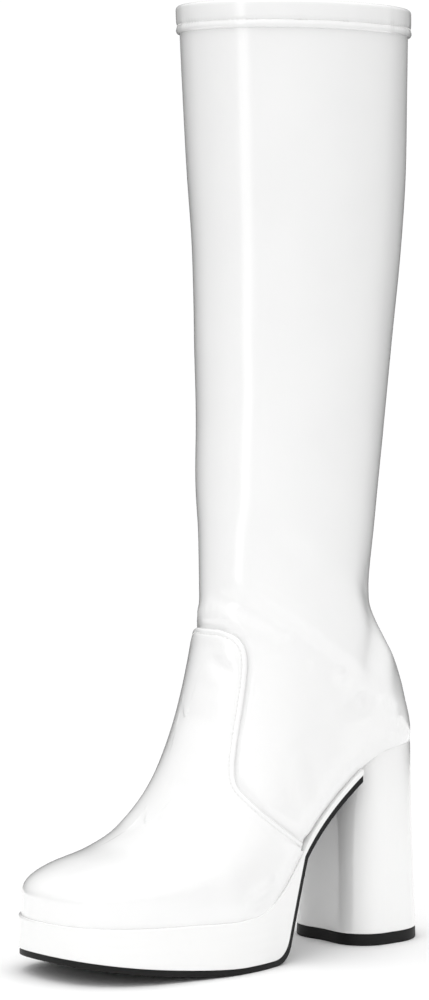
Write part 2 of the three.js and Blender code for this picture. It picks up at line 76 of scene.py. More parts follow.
class Curves:
    """Smooth curves through the columns of a short table whose first column rises from row to row."""

    def __init__(self, names: str, rows: Sequence[Sequence[float]]) -> None:
        """Keeps the table.

        Args:
            names: the columns' names, the key's first.
            rows: one row of numbers for each name.
        """
        self.names = names.split()
        self.table = np.array(rows, float)

    def column(self, name: str) -> Array:
        """One column as it stands in the table."""
        return self.table[:, self.names.index(name)]

    def at(self, name: str, where: Array | float) -> Array:
        """Follows one column.

        Args:
            name: the column.
            where: places along the key column, held to its ends.

        Returns:
            The column's smooth value at each place.
        """
        key, value = self.table[:, 0], self.column(name)
        step = np.diff(key)
        rise = np.diff(value) / step
        slope = np.empty_like(value)
        slope[0], slope[-1] = rise[0], rise[-1]
        slope[1:-1] = (rise[1:] * step[:-1] + rise[:-1] * step[1:]) / (step[1:] + step[:-1])
        x = np.clip(np.asarray(where, float), key[0], key[-1])
        i = np.clip(np.searchsorted(key, x, side="left") - 1, 0, len(step) - 1)
        u = (x - key[i]) / step[i]
        u2, u3 = u * u, u * u * u
        ends = value[i] * (2 * u3 - 3 * u2 + 1) + value[i + 1] * (3 * u2 - 2 * u3)
        return ends + step[i] * (slope[i] * (u3 - 2 * u2 + u) + slope[i + 1] * (u3 - u2))


def curves(names: str, rows: Sequence[Sequence[float]]) -> Curves:
    """A dataclass field that holds a table of curves."""
    return field(default_factory=lambda: Curves(names, rows))


def round_end(u: Array, power: float) -> Array:
    """How wide a round end still is at a share of its length, 1 where it begins and 0 at its tip."""
    return np.maximum(0.0, 1 - np.clip(u, 0, None) ** power) ** (1 / power)


def unit(v: Array) -> Array:
    """Vectors brought to length 1."""
    return v / np.maximum(np.linalg.norm(v, axis=-1, keepdims=True), 1e-12)


def spline(points: Sequence[Sequence[float]], count: int) -> Array:
    """A smooth line through given points.

    Args:
        points: two or more points of any dimension.
        count: how many points to return.

    Returns:
        Points along a Catmull-Rom curve.
    """
    p = np.array(points, float)
    p = np.vstack([2 * p[0] - p[1], p, 2 * p[-1] - p[-2]])
    t = np.linspace(0, len(p) - 3, count)
    i = np.minimum(t.astype(int), len(p) - 4)
    u = (t - i)[:, None]
    a, b, c, d = p[i], p[i + 1], p[i + 2], p[i + 3]
    return 0.5 * (2 * b + (c - a) * u + (2 * a - 5 * b + 4 * c - d) * u**2 + (3 * b - a - 3 * c + d) * u**3)


def spaced(lengths: Array, count: int) -> Array:
    """Places, as positions in a list of samples, that part a line into equal lengths.

    Args:
        lengths: cumulative length at each sample, from 0.
        count: how many places to return, both ends among them.
    """
    return np.interp(np.linspace(0, lengths[-1], count), lengths, np.arange(len(lengths)))


def lengths_along(points: Array) -> Array:
    """Length of a line of points up to each of them, from 0."""
    return np.append(0, np.linalg.norm(np.diff(points, axis=0), axis=1).cumsum())


def full_turn(count: int) -> Array:
    """Even steps round a circle from 0, in radians."""
    return np.linspace(0, 2 * math.pi, count + 1)[:-1]


# The last


@dataclass
class Last:
    """The form under the upper, from the toe tip (0) by the heel seat (1) to the topline (2)."""

    last_length: float = 0.2335
    ball_width: float = 0.090
    seat_width: float = 0.0565
    platform_height: float = 0.028
    heel_height: float = 0.106
    toe_rise: float = 0.002
    ankle_height: float = 0.185
    ankle_depth: float = 0.098
    ankle_width: float = 0.076
    ankle_setback: float = 0.081
    boot_height: float = 0.4975
    collar_depth: float = 0.130
    collar_width: float = 0.103
    topline_dip: float = 0.0005
    seat_back_y: float = 0.025
    ball_share: float = 0.65
    leg_crown: float = 2.1
    fullest_tuck: float = 0.985
    heel_end: tuple[float, float] = (0.12, 2.1)
    toe_from: float = 0.8
    toe_plan_power: float = 2.5
    toe_crown_power: float = 2.6
    toe_wall_power: float = 8.0

    bottom_curve: Curves = curves("along lift", [
        (0, 1), (0.08, 0.993), (0.143, 0.963), (0.213, 0.88), (0.268, 0.772), (0.321, 0.652), (0.36, 0.55),
        (0.4, 0.428), (0.44, 0.29), (0.48, 0.168), (0.52, 0.082), (0.57, 0.02), (0.63, 0), (0.75, 0),
    ])
    plan_curve: Curves = curves("along middle spread", [
        (0, 0, 0), (0.12, 0, 0), (0.2, 0.004, 0), (0.3, 0.022, -0.02), (0.4, 0.033, 0.07), (0.5, 0.032, 0.42),
        (0.58, 0.024, 0.76), (0.65, 0.015, 0.915), (0.72, -0.004, 0.96), (0.8, -0.03, 0.935),
        (0.9, -0.062, 0.93), (1, -0.085, 0.92),
    ])
    foot_rows: Curves = curves("bottom instep top width ridge widest crown side", [
        (1, 1, 0.16, 0.81, -0.065, 0.45, 2.3, 5), (0.9, 0.772, 0.185, 0.875, -0.058, 0.44, 2.3, 5),
        (0.8, 0.544, 0.22, 0.94, -0.054, 0.42, 2.2, 5), (0.72, 0.383, 0.275, 1, -0.054, 0.39, 2.1, 5),
        (0.65, 0.3, 0.335, 0.975, -0.054, 0.36, 2.05, 5), (0.58, 0.24, 0.4, 0.69, -0.054, 0.35, 2, 4.6),
        (0.5, 0.185, 0.478, 0.25, -0.052, 0.36, 2, 4), (0.42, 0.138, 0.557, -0.06, -0.048, 0.39, 2, 3.6),
        (0.34, 0.098, 0.643, -0.2, -0.042, 0.42, 2, 3.3), (0.26, 0.066, 0.732, -0.22, -0.035, 0.45, 2, 3),
        (0.18, 0.04, 0.822, -0.17, -0.027, 0.48, 2, 2.8), (0.1, 0.02, 0.911, -0.1, -0.02, 0.5, 2, 2.7),
        (0.04, 0.008, 0.981, -0.05, -0.015, 0.52, 2, 2.5), (0, 0, 1.019, 0, -0.012, 0.53, 2, 2.4),
    ])
    leg_rows: Curves = curves("back heel calf top shin width widest side", [
        (0.089, 0.985, 0, 1.045, 0, 0, 0.53, 2.35), (0.215, 0.9, 0, 1.074, 0, 0, 0.53, 2.3),
        (0.342, 0.81, 0, 1.1, 0, 0, 0.53, 2.25), (0.456, 0.69, 0, 1.126, 0, 0.01, 0.525, 2.2),
        (0.582, 0.475, 0, 1.152, 0, 0.02, 0.52, 2.15), (0.734, 0.225, 0, 1.181, 0, 0.05, 0.52, 2.1),
        (0.886, 0.035, 0, 1.21, 0, 0.09, 0.515, 2.1), (1.003, 0, 0, 1.239, 0, 0.125, 0.51, 2.1),
        (1.045, 0, 0.03, 1.271, -0.01, 0.165, 0.51, 2.1), (1.097, 0, 0.091, 1.31, -0.02, 0.21, 0.505, 2.1),
        (1.165, 0, 0.162, 1.355, -0.02, 0.27, 0.5, 2.1), (1.306, 0, 0.324, 1.439, 0.01, 0.4, 0.5, 2.1),
        (1.445, 0, 0.476, 1.526, 0.018, 0.55, 0.5, 2.1), (1.584, 0, 0.635, 1.623, 0.05, 0.69, 0.5, 2.1),
        (1.703, 0, 0.715, 1.723, 0.12, 0.84, 0.5, 2.1), (1.861, 0, 0.735, 1.868, 0.2, 0.93, 0.5, 2.1),
        (2, 0, 0.744, 2, 0.268, 1, 0.5, 2.1),
    ])

    def __post_init__(self) -> None:
        """Works out the places that follow from the sizes, and the sections in metres."""
        self.toe_tip_y = self.seat_back_y - self.last_length
        self.ankle_front_y = self.seat_back_y - self.ankle_setback - self.ankle_depth / 2
        self.ankle_back_y = self.seat_back_y - self.ankle_setback + self.ankle_depth / 2
        self.flare = self.collar_depth - self.ankle_depth
        foot, leg = self.foot_rows.column, self.leg_rows.column
        zero = np.zeros(len(leg("back")))
        front = {
            "at": 1 - foot("bottom"),
            "top_y": self.ankle_front_y - foot("instep") * (self.ankle_front_y - self.toe_tip_y),
            "top_z": self.rung(self.platform_height, foot("top")),
            "back_y": self.along_y(foot("bottom")),
            "back_z": self.bottom_height(foot("bottom")),
            "half": (self.ankle_width + foot("width") * (self.ball_width - self.ankle_width)) / 2,
            "ridge": foot("ridge") * self.ball_width,
            "widest": foot("widest"),
            "crown": foot("crown"),
            "side": foot("side"),
        }
        back_z = self.rung(self.heel_height, leg("back"))
        overhang = leg("heel") * (self.seat_back_y - self.ankle_back_y)
        rest = {
            "at": 1 + (back_z - self.heel_height) / (self.boot_height - self.heel_height),
            "top_y": self.ankle_front_y - leg("shin") * self.flare,
            "top_z": self.rung(self.platform_height, leg("top")),
            "back_y": self.ankle_back_y + overhang + leg("calf") * self.flare,
            "back_z": back_z,
            "half": (self.ankle_width + leg("width") * (self.collar_width - self.ankle_width)) / 2,
            "ridge": zero,
            "widest": leg("widest"),
            "crown": zero + self.leg_crown,
            "side": leg("side"),
        }
        names = " ".join(front)
        self.sections = Curves(names, np.array([np.concatenate([front[n], rest[n]]) for n in front]).T)

    def along_y(self, share: Array) -> Array:
        """Y at a share of the last's length, from the back of the heel seat."""
        return self.seat_back_y - share * self.last_length

    def share_at(self, y: Array) -> Array:
        """Share of the last's length at a Y."""
        return (self.seat_back_y - y) / self.last_length

    def rung(self, foot_height: float, step: Array) -> Array:
        """Height on the leg: 0 is the given foot height, 1 the ankle and 2 the topline."""
        low = foot_height + step * (self.ankle_height - foot_height)
        high = self.ankle_height + (step - 1) * (self.boot_height - self.ankle_height)
        return np.where(step < 1, low, high)

    def bottom_height(self, share: Array) -> Array:
        """Height of the last's bottom, which is also the feather line's."""
        past_ball = np.maximum(0, (share - self.ball_share) / (1 - self.ball_share))
        climb = self.heel_height - self.platform_height
        lift = self.bottom_curve.at("lift", share)
        return self.platform_height + lift * climb + self.toe_rise * past_ball

    def bottom_at(self, y: Array) -> Array:
        """Height of the last's bottom at a Y."""
        return self.bottom_height(self.share_at(y))

    def feather(self, share: Array) -> tuple[Array, Array, Array]:
        """Middle, half width and toe share of the feather line at a share of the last's length."""
        spread = self.plan_curve.at("spread", share)
        middle = self.plan_curve.at("middle", share) * self.ball_width
        toe = np.clip((share - self.toe_from) / (1 - self.toe_from), 0, 1)
        heel = np.maximum(0, 1 - share / self.heel_end[0])
        ends = round_end(toe, self.toe_plan_power) * round_end(heel, self.heel_end[1])
        half = (self.seat_width + spread * (self.ball_width - self.seat_width)) / 2
        return middle, half * ends, toe

    def point(self, at: Array, angle: Array) -> Array:
        """Places on the upper's outer face.

        Args:
            at: 0 at the toe tip, 1 at the heel seat's back, 2 at the topline.
            angle: 0 at the section's upper end, a quarter turn at its outer side, in radians.

        Returns:
            Points, with one more axis than the broadcast arguments.
        """
        at, angle = np.broadcast_arrays(np.asarray(at, float), np.asarray(angle, float))
        row = {name: self.sections.at(name, at) for name in self.sections.names[1:]}
        foot = at < 1
        share = np.clip(1 - at, 0, None)
        middle, feather_half, toe = self.feather(share)
        back_y = np.where(foot, self.along_y(share), row["back_y"])
        back_z = np.where(foot, self.bottom_height(share), row["back_z"])
        dy, dz = row["top_y"] - back_y, row["top_z"] - back_z
        height = np.hypot(dy, dz)
        waist = row["widest"] * height
        half = row["half"] * round_end(toe, self.toe_plan_power)
        tuck = np.where(foot, np.minimum(self.fullest_tuck, feather_half / np.maximum(half, 1e-9)), 0)
        drop = waist * ((1 - tuck ** row["side"]) ** (-1 / row["side"]) - 1)
        rise = (height - waist) * round_end(toe, self.toe_crown_power)
        fall = (waist + drop) * round_end(toe, self.toe_wall_power)
        s, c = np.sin(angle), np.cos(angle)
        power = 2 / np.where(c >= 0, row["crown"], row["side"])
        across = np.sign(s) * np.abs(s) ** power * half
        v = waist + np.abs(c) ** power * np.where(c >= 0, rise, -fall)
        lean = np.clip(v / height, 0, 1)
        middle = np.where(foot, middle, 0)
        x = middle + (row["ridge"] - middle) * lean + across
        return np.stack([x, back_y + v * dy / height, back_z + v * dz / height], -1)

    def normal(self, at: Array, angle: Array) -> Array:
        """Outward directions of the upper's face at the same places as point gives."""
        turn, move = 0.012, 0.001
        around = self.point(at, angle + turn) - self.point(at, angle - turn)
        along = self.point(at + move, angle) - self.point(at - move, angle)
        return unit(np.cross(around, along))

    def face(self, at: Array, angle: Array) -> tuple[Array, Array]:
        """Points and normals of the upper's outer face."""
        return self.point(at, angle), self.normal(at, angle)

    def slide(self, at: Array, angle: Array, step: Array) -> tuple[Array, Array]:
        """Moves places along the face by small steps.

        Args:
            at, angle: the places.
            step: a vector for each place.

        Returns:
            The moved places as at and angle.
        """
        move, turn = 0.0008, 0.01
        along = (self.point(at + move, angle) - self.point(at - move, angle)) / (2 * move)
        around = (self.point(at, angle + turn) - self.point(at, angle - turn)) / (2 * turn)
        aa, bb, ab = (np.sum(p * q, -1) for p, q in ((along, along), (around, around), (along, around)))
        a, b = np.sum(along * step, -1), np.sum(around * step, -1)
        whole = np.maximum(aa * bb - ab * ab, 1e-12)
        return at + (a * bb - b * ab) / whole, angle + (b * aa - a * ab) / whole

    def topline(self, y: Array) -> Array:
        """Height of the topline over a Y: it falls a little from the shin to the back."""
        front, back = self.ankle_front_y - self.flare, self.ankle_back_y + self.flare
        return self.boot_height - self.topline_dip * (y - front) / (back - front)

    def at_height(self, angle: Array, below: Array | float) -> Array:
        """Where the leg's face lies a distance below the topline, as a place along the last."""
        at = np.full(np.broadcast(angle, below).shape, 2.0)
        for _ in range(6):
            p = self.point(at, angle)
            miss = self.topline(p[..., 1]) - below - p[..., 2]
            at = np.clip(at + miss / (self.boot_height - self.heel_height), 1, 2)
        return at

    def grid(self, first: float, last: float, rows: int, columns: int) -> tuple[Array, Array]:
        """A net of places with nearly square meshes.

        Args:
            first, last: where the net begins and ends along the last.
            rows, columns: how many lines it has each way.

        Returns:
            at and angle, both rows by columns.
        """
        # the samples crowd towards the toe tip, where the sections grow fastest
        toe_end, crowding, toe_samples, samples, sample_turns = 0.25, 2.5, 900, 1400, 1441
        ease = np.linspace(0, 1, toe_samples) ** crowding
        toe_part = first + (toe_end - first) * ease
        tries = np.concatenate([toe_part, np.linspace(toe_end, last, samples)[1:]])
        turns = full_turn(24)
        rings = self.point(tries[:, None], turns[None])
        steps = np.linalg.norm(np.diff(rings, axis=0), axis=2).mean(1)
        at = np.interp(spaced(np.append(0, steps.cumsum()), rows), np.arange(len(tries)), tries)
        fine = np.linspace(0, 2 * math.pi, sample_turns)
        around = self.point(at[:, None], fine[None])
        lengths = np.linalg.norm(np.diff(around, axis=1), axis=2)
        angle = np.empty((rows, columns))
        half = len(fine) // 2
        for r in range(rows):
            for side, part in enumerate((slice(0, half), slice(half, None))):
                run = np.append(0, lengths[r, part].cumsum())
                where = spaced(run, columns // 2 + 1)[:-1]
                turned = np.interp(where, np.arange(len(run)), fine[side * half:side * half + half + 1])
                angle[r, side * columns // 2:(side + 1) * columns // 2] = turned
        return np.repeat(at[:, None], columns, 1), angle


LAST = Last()


# Creases


class Fold(Enum):
    """Which way a crease goes."""

    TROUGH = -1
    RIDGE = 1


@dataclass(frozen=True)
class Crease:
    """A soft trough or ridge along a few places on the last."""

    kind: Fold
    path: tuple[tuple[float, float], ...]
    depth: float
    width: float
    shoulder: float = 0.4

    def relief(self, points: Array) -> Array:
        """How far each point moves out along the face's normal.

        Args:
            points: places on the face, one row each.
        """
        line = spline(self.path, 60)
        places = LAST.point(line[:, 0], np.radians(line[:, 1]))
        taper = np.sin(np.linspace(0, math.pi, len(line)))
        reach = 4 * self.width
        low, high = places.min(0) - reach, places.max(0) + reach
        near = np.all((points > low) & (points < high), axis=1)
        out = np.zeros(len(points))
        if not near.any():
            return out
        gap = np.linalg.norm(points[near][:, None] - places[None], axis=2)
        k = gap.argmin(1)
        d = gap[np.arange(len(k)), k] / self.width
        shape = np.exp(-d * d) - self.shoulder * np.exp(-(((d - 2) / 1.1) ** 2))
        out[near] = self.kind.value * self.depth * taper[k] * shape
        return out


def mirrored(creases: Sequence[Crease], ease: float = 0.8) -> tuple[Crease, ...]:
    """The creases and, a little softer, their likes on the inner side."""
    turned = []
    for c in creases:
        path = tuple((at, 360 - angle) for at, angle in c.path)
        turned.append(Crease(c.kind, path, c.depth * ease, c.width, c.shoulder))
    return (*creases, *turned)


CREASES = (
    *mirrored((
        # the fold where the shaft breaks over the ankle, and the soft bulge behind it
        Crease(Fold.TROUGH, ((1.25, 138), (1.15, 124), (1.09, 112), (1.02, 102), (0.95, 97), (0.86, 92)),
               0.0019, 0.0085, 0.2),
        Crease(Fold.RIDGE, ((1.1, 128), (1.07, 121), (1.03, 115), (0.98, 112)), 0.0009, 0.008, 0.0),
        # a broad dip low on the counter, and the counter's edge over the heel
        Crease(Fold.TROUGH, ((0.975, 100), (0.94, 110), (0.915, 122), (0.91, 132)), 0.0008, 0.01, 0.1),
        Crease(Fold.RIDGE, ((0.74, 112), (0.79, 117), (0.86, 119), (0.92, 121)), 0.0003, 0.004, 0.3),
        # over the waist, fanning up from the arch
        Crease(Fold.TROUGH, ((0.64, 108), (0.7, 96), (0.76, 84)), 0.0005, 0.007),
        Crease(Fold.TROUGH, ((0.58, 104), (0.63, 88), (0.68, 74)), 0.0004, 0.006),
        # long soft panels down the shaft
        Crease(Fold.TROUGH, ((1.9, 40), (1.6, 36), (1.35, 32)), 0.0005, 0.016, 0.0),
        Crease(Fold.TROUGH, ((1.92, 120), (1.65, 122), (1.4, 126)), 0.0006, 0.018, 0.0),
    )),
    # two small rolls of the stretch fabric over the vamp's tab
    Crease(Fold.RIDGE, ((0.958, 62), (0.962, 40), (0.966, 20), (0.972, 0), (0.978, 338), (0.98, 312)),
           0.0006, 0.0032),
    Crease(Fold.RIDGE, ((0.936, 44), (0.938, 28), (0.94, 10), (0.943, 350), (0.945, 330)), 0.0003, 0.0025),
)

VAMP_CREASES = (
    # soft wrinkles over the instep and behind the toe
    Crease(Fold.TROUGH, ((0.44, 4), (0.425, 18), (0.415, 32), (0.42, 48)), 0.0005, 0.0065),
    Crease(Fold.TROUGH, ((0.3, 358), (0.29, 14), (0.285, 30), (0.29, 44)), 0.0004, 0.007),
    Crease(Fold.TROUGH, ((0.66, 46), (0.65, 30), (0.645, 12), (0.65, 354)), 0.0004, 0.0065),
    # small dents on the tab
    Crease(Fold.TROUGH, ((0.838, 8), (0.822, 16), (0.807, 25), (0.79, 34)), 0.0007, 0.0042),
    Crease(Fold.RIDGE, ((0.862, 14), (0.845, 22), (0.83, 30)), 0.0004, 0.0036),
    # a short loop pressed in over the platform's end
    Crease(Fold.TROUGH, ((0.375, 103), (0.42, 104), (0.46, 108), (0.495, 114)), 0.0008, 0.003, 0.9),
)


def relief(points: Array, creases: Sequence[Crease]) -> Array:
    """Sum of the creases' reliefs at points of any shape that ends in x, y and z."""
    flat = points.reshape(-1, 3)
    total = sum((c.relief(flat) for c in creases), np.zeros(len(flat)))
    return total.reshape(points.shape[:-1])


# Meshes


def placed(name: str, data: bpy.types.ID) -> bpy.types.Object:
    """A new object in the scene that holds the data."""
    made = bpy.data.objects.new(name, data)
    bpy.context.scene.collection.objects.link(made)
    return made


def make_piece(name: str, points: Array, faces: Faces, body: str = "root") -> bpy.types.Object:
    """A smooth-shaded mesh object in the row's frame.

    Args:
        name: the piece's name.
        points: its vertices.
        faces: vertex numbers of each face.
        body: the body it rides on.

    Returns:
        The new object.
    """
    data = bpy.data.meshes.new(name)
    corners = np.asarray(points, float).reshape(-1, 3).tolist()
    data.from_pydata(corners, [], [list(map(int, face)) for face in faces])
    data.validate()
    data.shade_smooth()
    piece = placed(name, data)
    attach(piece, body)
    return piece


def net_faces(rows: int, columns: int, closed: bool, start: int = 0) -> list[tuple[int, ...]]:
    """Quads of a net of vertices numbered row by row.

    Args:
        rows, columns: the net's size.
        closed: whether the last column joins the first.
        start: number of the net's first vertex.
    """
    r, c = np.meshgrid(np.arange(rows - 1), np.arange(columns if closed else columns - 1), indexing="ij")
    a = start + r * columns + c
    b = start + r * columns + (c + 1) % columns
    return np.stack([a, b, b + columns, a + columns], -1).reshape(-1, 4).tolist()


def fan(tip: int, count: int) -> list[tuple[int, int, int]]:
    """Triangles between a tip and the ring of vertices numbered from 0."""
    return [(tip, (j + 1) % count, j) for j in range(count)]


def soften(piece: bpy.types.Object, degrees: float) -> None:
    """Keeps edges sharp that turn by more than an angle."""
    piece.data.set_sharp_from_angle(angle=math.radians(degrees))


# Shader maths


def operator(operation: str, reflected: bool = False) -> Callable[["Wire", "Wire | float"], "Wire"]:
    """Makes one of the operators of Wire.

    Args:
        operation: what its Math node does.
        reflected: whether the wire is the operator's right side.

    Returns:
        The method.
    """

    def method(wire: "Wire", other: "Wire | float") -> "Wire":
        """The wire and another value through one Math node."""
        return wire.through(operation, *((other, wire) if reflected else (wire, other)))

    return method


class Wire:
    """A value socket that takes part in Python expressions."""

    def __init__(self, shader: "Shader", socket: bpy.types.NodeSocket) -> None:
        """Wraps one output socket of a shader's node."""
        self.shader, self.socket = shader, socket

    def through(self, operation: str, *values: "Wire | float") -> "Wire":
        """One Math node over the given values."""
        return self.shader.node("ShaderNodeMath", {"operation": operation}, dict(enumerate(values)))

    __add__, __radd__ = operator("ADD"), operator("ADD", reflected=True)
    __sub__, __rsub__ = operator("SUBTRACT"), operator("SUBTRACT", reflected=True)
    __mul__, __rmul__ = operator("MULTIPLY"), operator("MULTIPLY", reflected=True)
    __truediv__, __rtruediv__ = operator("DIVIDE"), operator("DIVIDE", reflected=True)

    def clamped(self, low: float = 0.0, high: float = 1.0) -> "Wire":
        """The value held between two numbers."""
        return self.through("MINIMUM", self.through("MAXIMUM", self, low), high)


class Shader:
    """A material's or a world's node tree."""

    def __init__(self, owner: bpy.types.Material | bpy.types.World) -> None:
        """Clears the owner's nodes and starts afresh."""
        owner.use_nodes = True
        self.tree = owner.node_tree
        self.tree.nodes.clear()

    def node(
        self, kind: str, settings: dict | None = None, inputs: dict | None = None, output: int | str = 0,
    ) -> Wire:
        """Makes one node.

        Args:
            kind: the node's type.
            settings: its properties, set before its sockets.
            inputs: values or wires by socket name or number.
            output: the socket that the wire holds.

        Returns:
            A wire on that output, empty where the node has none.
        """
        made = self.tree.nodes.new(kind)
        for key, value in (settings or {}).items():
            setattr(made, key, value)
        for key, value in (inputs or {}).items():
            socket = made.inputs[key]
            if isinstance(value, Wire):
                self.tree.links.new(value.socket, socket)
            else:
                socket.default_value = value
        return Wire(self, made.outputs[output] if made.outputs else None)

    def place(self) -> Wire:
        """Coordinates in the row's frame, in metres."""
        return self.node("ShaderNodeTexCoord", output="Object")

    def noise(self, size: float, detail: float = 2.0) -> Wire:
        """Soft noise whose blots are about a size, in metres."""
        inputs = {"Vector": self.place(), "Scale": 1 / size, "Detail": detail}
        return self.node("ShaderNodeTexNoise", {}, inputs)

    def blend(self, first: Sequence[float], second: Sequence[float], share: Wire) -> Wire:
        """A colour between two, by a share."""
        # the colours' sockets of a Mix node share their names with others, so they go by number
        inputs = {"Factor": share, 6: (*first, 1), 7: (*second, 1)}
        return self.node("ShaderNodeMix", {"data_type": "RGBA"}, inputs, 2)

    def bump(self, height: Wire, distance: float, strength: float = 1.0, over: Wire | None = None) -> Wire:
        """A normal bent by a height, on top of another bump where one is given."""
        inputs = {"Height": height, "Distance": distance, "Strength": strength}
        if over is not None:
            inputs["Normal"] = over
        return self.node("ShaderNodeBump", {}, inputs, "Normal")

    def surface(self, inputs: dict) -> None:
        """Ends the tree in a Principled surface with the given sockets."""
        made = self.node("ShaderNodeBsdfPrincipled", {}, inputs, "BSDF")
        self.end("ShaderNodeOutputMaterial", made)

    def end(self, kind: str, made: Wire) -> None:
        """Links a shader to an output node of a kind."""
        self.node(kind, {}, {"Surface": made})


# Finishes


class Finish:
    """What the finishes share."""

    name: str

    def material(self) -> bpy.types.Material:
        """Builds the finish."""
        made = bpy.data.materials.new(self.name)
        self.paint(Shader(made))
        return made

    def paint(self, shader: Shader) -> None:
        """Fills the node tree."""
        raise NotImplementedError


@dataclass(frozen=True)
class Patent(Finish):
    """Glossy white stretch patent."""

    name: str = "patent_gloss"
    light: tuple[float, float, float] = (0.9, 0.9, 0.897)
    shade: tuple[float, float, float] = (0.868, 0.868, 0.867)
    roughness: float = 0.225
    grain: float = 0.00075
    coat: float = 1.0
    coat_roughness: float = 0.16
    coat_ior: float = 1.7
    ior: float = 1.5
    cloud: float = 0.05
    peel: float = 0.006
    peel_roughness: float = 0.06
    grain_roughness: float = 0.04
    peel_depth: float = 0.00005
    grain_depth: float = 0.000012

    def paint(self, shader: Shader) -> None:
        """Fills the node tree."""
        cloud = shader.noise(self.cloud)
        grain = shader.noise(self.grain, 3)
        peel = shader.noise(self.peel)
        colour = shader.blend(self.light, self.shade, (cloud * 1.6 - 0.3).clamped())
        rough = self.roughness + (peel - 0.5) * self.peel_roughness + (grain - 0.5) * self.grain_roughness
        fine = shader.bump(grain, self.grain_depth)
        shader.surface({
            "Base Color": colour, "Roughness": rough, "IOR": self.ior,
            "Normal": shader.bump(peel, self.peel_depth, over=fine),
            "Coat Weight": self.coat, "Coat Roughness": self.coat_roughness, "Coat IOR": self.coat_ior,
        })


@dataclass(frozen=True)
class Rubber(Finish):
    """Matt black moulded rubber."""

    name: str = "matt_rubber"
    dark: tuple[float, float, float] = (0.003, 0.003, 0.003)
    worn: tuple[float, float, float] = (0.007, 0.007, 0.007)
    roughness: float = 0.55
    cloud: float = 0.02
    cloud_roughness: float = 0.2
    grain: float = 0.0006
    grain_depth: float = 0.00008
    specular: float = 0.25

    def paint(self, shader: Shader) -> None:
        """Fills the node tree."""
        cloud = shader.noise(self.cloud, 3)
        grain = shader.noise(self.grain)
        shader.surface({
            "Base Color": shader.blend(self.dark, self.worn, cloud.clamped()),
            "Roughness": self.roughness + (cloud - 0.5) * self.cloud_roughness,
            "Specular IOR Level": self.specular, "Normal": shader.bump(grain, self.grain_depth),
        })


@dataclass(frozen=True)
class Textile(Finish):
    """A plain woven or brushed textile, for the lining, the sock and the thread."""

    name: str
    light: tuple[float, float, float]
    shade: tuple[float, float, float]
    pitch: float
    roughness: float = 0.8
    cloud: float = 0.01
    cloud_roughness: float = 0.15
    weave_share: float = 0.3
    weave_depth: float = 0.0001
    weave_strength: float = 0.6

    def paint(self, shader: Shader) -> None:
        """Fills the node tree."""
        inputs = {"Vector": shader.place(), "Scale": 1 / self.pitch}
        waves = [shader.node("ShaderNodeTexWave", {"bands_direction": axis}, inputs) for axis in "XYZ"]
        weave = (waves[0] + waves[1] + waves[2]) / len(waves)
        cloud = shader.noise(self.cloud, 3)
        share = cloud * (1 - self.weave_share) + weave * self.weave_share
        shader.surface({
            "Base Color": shader.blend(self.light, self.shade, share.clamped()),
            "Roughness": self.roughness + (cloud - 0.5) * self.cloud_roughness,
            "Normal": shader.bump(weave, self.weave_depth, self.weave_strength),
        })


PATENT = Patent()
WRAP = Patent("wrap_gloss", (0.9, 0.9, 0.896), (0.872, 0.871, 0.866), 0.22, 0.0009)
RUBBER = Rubber()
LINING = Textile("soft_textile", (0.82, 0.81, 0.78), (0.74, 0.73, 0.7), 0.0011)
THREAD = Textile("sewing_thread", (0.88, 0.88, 0.87), (0.78, 0.78, 0.77), 0.0005)


class Wardrobe:
    """Makes each finish once, and puts it on pieces."""

    def __init__(self) -> None:
        """Starts with no finish made."""
        self.made: dict[str, bpy.types.Material] = {}

    def dress(self, piece: bpy.types.Object, finish: Finish) -> None:
        """Gives a piece its finish, in place of any it had."""
        if finish.name not in self.made:
            self.made[finish.name] = finish.material()
        piece.data.materials.clear()
        piece.data.materials.append(self.made[finish.name])


WARDROBE = Wardrobe()


# Upper


@dataclass
class Upper:
    """The stretch upper from toe to topline, with its lining."""

    rows: int = 340
    columns: int = 240
    wall: float = 0.0018
    sunk: float = 0.001
    hem_cover: float = 0.002
    top_from: float = 1.6
    toe_slack: float = 0.01
    lining_lift: float = 0.0002
    lining_skips: int = 2

    def net(self, rows: int, columns: int) -> tuple[Array, Array, Array]:
        """Points, normals and reliefs of the outer face as a net, its last row just under the topline."""
        at, angle = LAST.grid(NET_START, 2.0, rows, columns)
        top = LAST.at_height(angle, self.hem_cover)
        share = np.clip((at - self.top_from) / (2 - self.top_from), 0, 1)
        at = np.where(share > 0, self.top_from + share * (top - self.top_from), at)
        points, normals = LAST.face(at, angle)
        return points, normals, relief(points, CREASES) - Vamp().pull(points, normals)

    def on_board(self, points: Array, lowered: float) -> Array:
        """Turns what lies under the last's bottom in flat along it, as a lasted margin."""
        floor = LAST.bottom_at(points[..., 1]) - lowered
        foot = points[..., 1] > LAST.toe_tip_y - self.toe_slack
        out = points.copy()
        out[..., 2] = np.where(foot, np.maximum(points[..., 2], floor), points[..., 2])
        return out

    def build(self) -> None:
        """Makes the upper and its lining."""
        points, normals, raised = self.net(self.rows, self.columns)
        outer = self.on_board(points + normals * raised[..., None], self.sunk)
        tip = outer[0].mean(0) - TIP_AHEAD
        faces = net_faces(self.rows, self.columns, True) + fan(self.rows * self.columns, self.columns)
        upper = make_piece("upper_shell", np.vstack([outer.reshape(-1, 3), tip]), faces)
        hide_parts("upper")
        WARDROBE.dress(upper, PATENT)
        rows, columns = self.rows // 2, self.columns // 2
        points, normals, raised = self.net(rows, columns)
        inner = self.on_board(points + normals * (raised - self.wall)[..., None], -self.lining_lift)
        inner = inner[self.lining_skips:]
        tip = inner[0].mean(0)
        faces = [f[::-1] for f in net_faces(len(inner), columns, True) + fan(len(inner) * columns, columns)]
        lining = make_piece("shaft_lining", np.vstack([inner.reshape(-1, 3), tip]), faces)
        WARDROBE.dress(lining, LINING)


# Vamp


